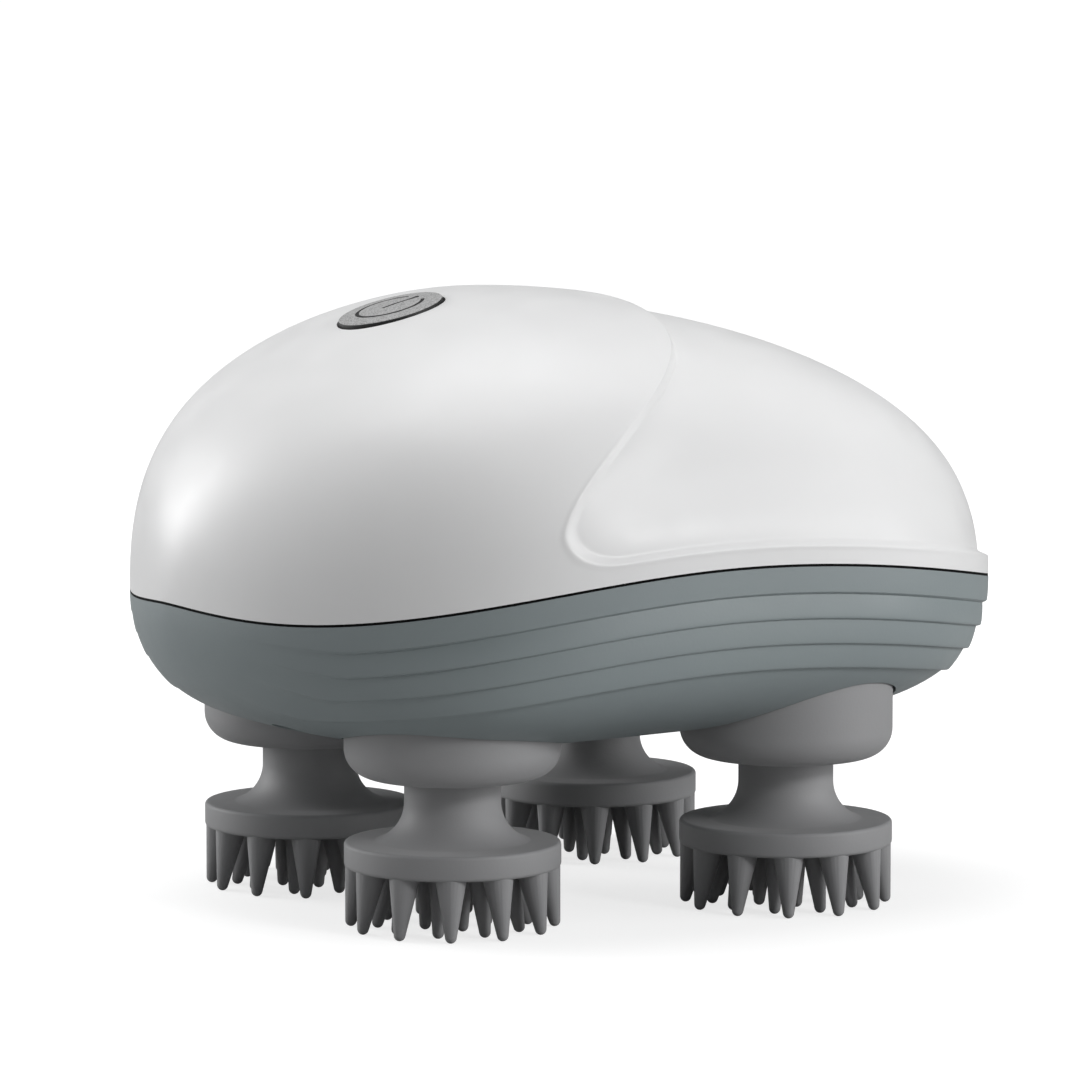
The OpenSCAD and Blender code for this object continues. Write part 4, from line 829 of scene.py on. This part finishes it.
CAP_TOP, DOME_R, CAP_EDGE, CAP_EDGE_Z = 0.55, 70.57, 0.3, -0.07
MARK_R, MARK_W, MARK_GAP = 4.4, 0.52, 26
MARK_LOW, RING_TOP, BAR_TOP = 0.05, 0.38, 0.5
BAR_BEHIND, MARK_PLAY, MARK_CUT_TOP = 1.1, 0.01, 1
SKIRT_GROOVE = (6.74, -1.9, 0.55, 61.8, 298.2, 12)
# Radius and height of the flange, the hollow and the stem under the cap
CAP_UNDER = [(7, -4), (8.2, -4), (8.2, -5), (5.4, -5), (5.4, -2.6), (1.6, -2.6),
             (1.6, -6.2), (0, -6.2)]


def standby_sign(low, ring_top, bar_top, width):
    """The sign for standby: a ring open towards the tail, and a bar that runs into the gap."""
    bpy.ops.mesh.primitive_circle_add(vertices=4, radius=1, fill_type="NGON")
    ring = bpy.context.object
    corners = ((-1, low), (1, low), (1, ring_top), (-1, ring_top))
    for vertex, (out, z) in zip(ring.data.vertices, corners):
        vertex.co = Vector((MARK_R + out * width / 2, 0, z)) * MM
    edit(ring, lambda: bpy.ops.mesh.spin(
        steps=64, angle=math.radians(360 - 2 * MARK_GAP), center=(0, 0, 0), axis=(0, 0, 1)))
    weld(ring)
    ring.rotation_euler = (0, 0, -math.radians(MARK_GAP))
    settle(ring)
    bpy.ops.mesh.primitive_cube_add(size=1)
    bar = bpy.context.object
    bar.scale = Vector((MARK_R + BAR_BEHIND, width, bar_top - low)) * MM
    bar.location = Vector(((MARK_R - BAR_BEHIND) / 2, 0, (bar_top + low) / 2)) * MM
    settle(bar)
    return ring, bar


def make_power_button():
    dome_points = [(r, CAP_TOP - DOME_R + math.sqrt(DOME_R ** 2 - r * r))
                   for r in [(BUTTON_R - CAP_EDGE) * k / 12 for k in range(13)]]
    edge = arc(BUTTON_R - CAP_EDGE, CAP_EDGE_Z, CAP_EDGE, 75, 0, 5)
    outline = dome_points + edge + arc(*SKIRT_GROOVE) + CAP_UNDER
    cap = turned("button_cap", outline, 96)
    for groove_tool in standby_sign(MARK_LOW, MARK_CUT_TOP, MARK_CUT_TOP, MARK_W):
        combine(cap, [groove_tool], "DIFFERENCE")
    mark = join(standby_sign(MARK_LOW + MARK_PLAY, RING_TOP, BAR_TOP, MARK_W - 2 * MARK_PLAY))
    mark.name = "standby_mark"
    for piece in (cap, mark):
        piece.matrix_world = BUTTON_PLACE
        settle(piece)
    smooth_by_angle(cap, 30)
    dress(cap, "button", "button_grey", "power_button")
    dress(mark, "button", "switch_black")


# --- Massage heads and collars ------------------------------------------------------------------

HEAD_PLACES = {
    "front_left": (-27.8, -19.8),
    "front_right": (-27.8, 19.8),
    "rear_left": (19.4, -25),
    "rear_right": (19.4, 25),
}
DISC_R, TOOTH_L, DISC_T, RIM_ROUND = 14, 7.9, 3.3, 0.5
NECK_R, NECK_TOP, FLARE_R, FLARE_END = 6.25, 25, 5.2, 255.9
SOCKET_R, SOCKET_LOW = 4.1, 13.5
TIP_R, TOOTH_SINK, TIP_FLAT = 0.75, 0.6, 0.02
# Count, phase, radius at the roots, root radius, and how far a tip stands out from its root
TOOTH_RINGS = (
    (12, 0, 11.9, 2.1, 1.35),
    (10, 14, 8, 1.65, 1.9),
    (5, 42, 3.7, 1.65, 0.7),
)


COLLAR_TOP, BOWL_ROUND = 34.4, (10.2, 23.3, 3.8, 0, -90, 14)
# Radius and height of the bowl's inside, from its mouth up round the diaphragm and the seal pocket
COLLAR_INSIDE = [
    (6.9, 19.5), (6.9, 21.5), (8.65, 21.5), (8.65, 26.6), (4.4, 26.6), (4.4, 28.1),
    (7.45, 28.1), (7.45, 30.7), (8.8, 30.7), (8.8, 28.1), (12.1, 28.1), (12.1, COLLAR_TOP),
]


def make_tooth(r, root_r, out, turn):
    """One soft tooth: a leaning cone with a round tip, its root sunk in the disc."""
    tilt = math.atan2(out, TOOTH_L)
    tip_at = (TOOTH_L + TOOTH_SINK - TIP_R + TIP_FLAT) / math.cos(tilt)
    taper = math.degrees(math.atan2(root_r - TIP_R, tip_at))
    outline = [(0, 0), (root_r, 0)] + arc(0, tip_at, TIP_R, taper, 90, 6)
    outline[-1] = (0, tip_at + TIP_R)
    tooth = turned("tooth", outline, 24)
    tooth.matrix_world = (
        Matrix.Rotation(turn, 4, "Z")
        @ Matrix.Translation(Vector((r - out * TOOTH_SINK / TOOTH_L, 0, TOOTH_L + TOOTH_SINK)) * MM)
        @ Matrix.Rotation(math.pi - tilt, 4, "Y"))
    settle(tooth)
    return tooth


def make_head():
    """A disc that flares into its neck, three rings of soft teeth and the spindle's socket."""
    top = TOOTH_L + DISC_T
    flare_x, flare_z = NECK_R + FLARE_R, top + FLARE_R * 0.97
    outline = ([(0, NECK_TOP), (NECK_R, NECK_TOP)]
               + arc(flare_x, flare_z, FLARE_R, 180, FLARE_END, 18)
               + arc(DISC_R - RIM_ROUND, top - RIM_ROUND, RIM_ROUND, 90, 0, 5)
               + arc(DISC_R - RIM_ROUND, TOOTH_L + RIM_ROUND, RIM_ROUND, 0, -90, 5)
               + [(0, TOOTH_L)])
    head = turned("massage_head", outline, 120)
    teeth = [make_tooth(r, root_r, out, math.tau * k / count + math.radians(phase))
             for count, phase, r, root_r, out in TOOTH_RINGS for k in range(count)]
    combine(head, teeth, "UNION")
    socket = rod(SOCKET_R, SOCKET_LOW, NECK_TOP + 1, sides=6)
    socket.rotation_euler = (0, 0, math.pi / 2)
    settle(socket)
    combine(head, [socket], "DIFFERENCE")
    edit(head, lambda: bpy.ops.mesh.bisect(
        plane_co=(0, 0, 0), plane_no=(0, 0, 1), use_fill=True, clear_inner=True, threshold=1e-7))
    smooth_by_angle(head, CREASE)
    return head


def make_collar():
    """A bowl round the neck, hollow inside, with its diaphragm and its seal pocket."""
    outline = [(COLLAR_R, COLLAR_TOP)] + arc(*BOWL_ROUND) + COLLAR_INSIDE
    collar = turned("collar", outline, 120)
    smooth_by_angle(collar, CREASE)
    return collar


def make_heads():
    head, collar = make_head(), make_collar()
    for name, (x, y) in HEAD_PLACES.items():
        for model, piece_name, body, node in (
                (head, "soft_head_" + name, "head_" + name, "massage_head_" + name),
                (collar, "collar_bowl_" + name, "housing", "collar_" + name)):
            piece = copy_of(model, piece_name)
            piece.location = Vector((x, y, 0)) * MM
            settle(piece)
            dress(piece, body, "silicone_grey", node)
    bpy.data.objects.remove(head)
    bpy.data.objects.remove(collar)


# --- Smaller pieces -----------------------------------------------------------------------------


COVER_CREASE, SCREW_CREASE = 8, 30


def polished(node_name, body, slot_name, degrees):
    """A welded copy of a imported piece, so that its round faces shade smoothly."""
    piece = copy_of(frame["nodes"][node_name], node_name + "_smooth")
    piece.parent = None
    piece.matrix_world = Matrix.Identity(4)
    weld(piece)
    smooth_by_angle(piece, degrees)
    dress(piece, body, slot_name, node_name)


# --- Run ----------------------------------------------------------------------------------------

add_camera()
add_studio()
make_upper_skin()
make_lower_skin()
make_parting_seal()
make_power_button()
make_heads()
polished("port_cover", "port_cover", "shell_grey", COVER_CREASE)
polished("housing_screws", "housing", "steel", SCREW_CREASE)

slots = {piece["node"]: piece["material_slot"] for piece in frame["record"]["subparts"]}
for name, node in frame["nodes"].items():
    if not node.hide_render:
        node.data.materials.clear()
        node.data.materials.append(material_of(slots[name]))
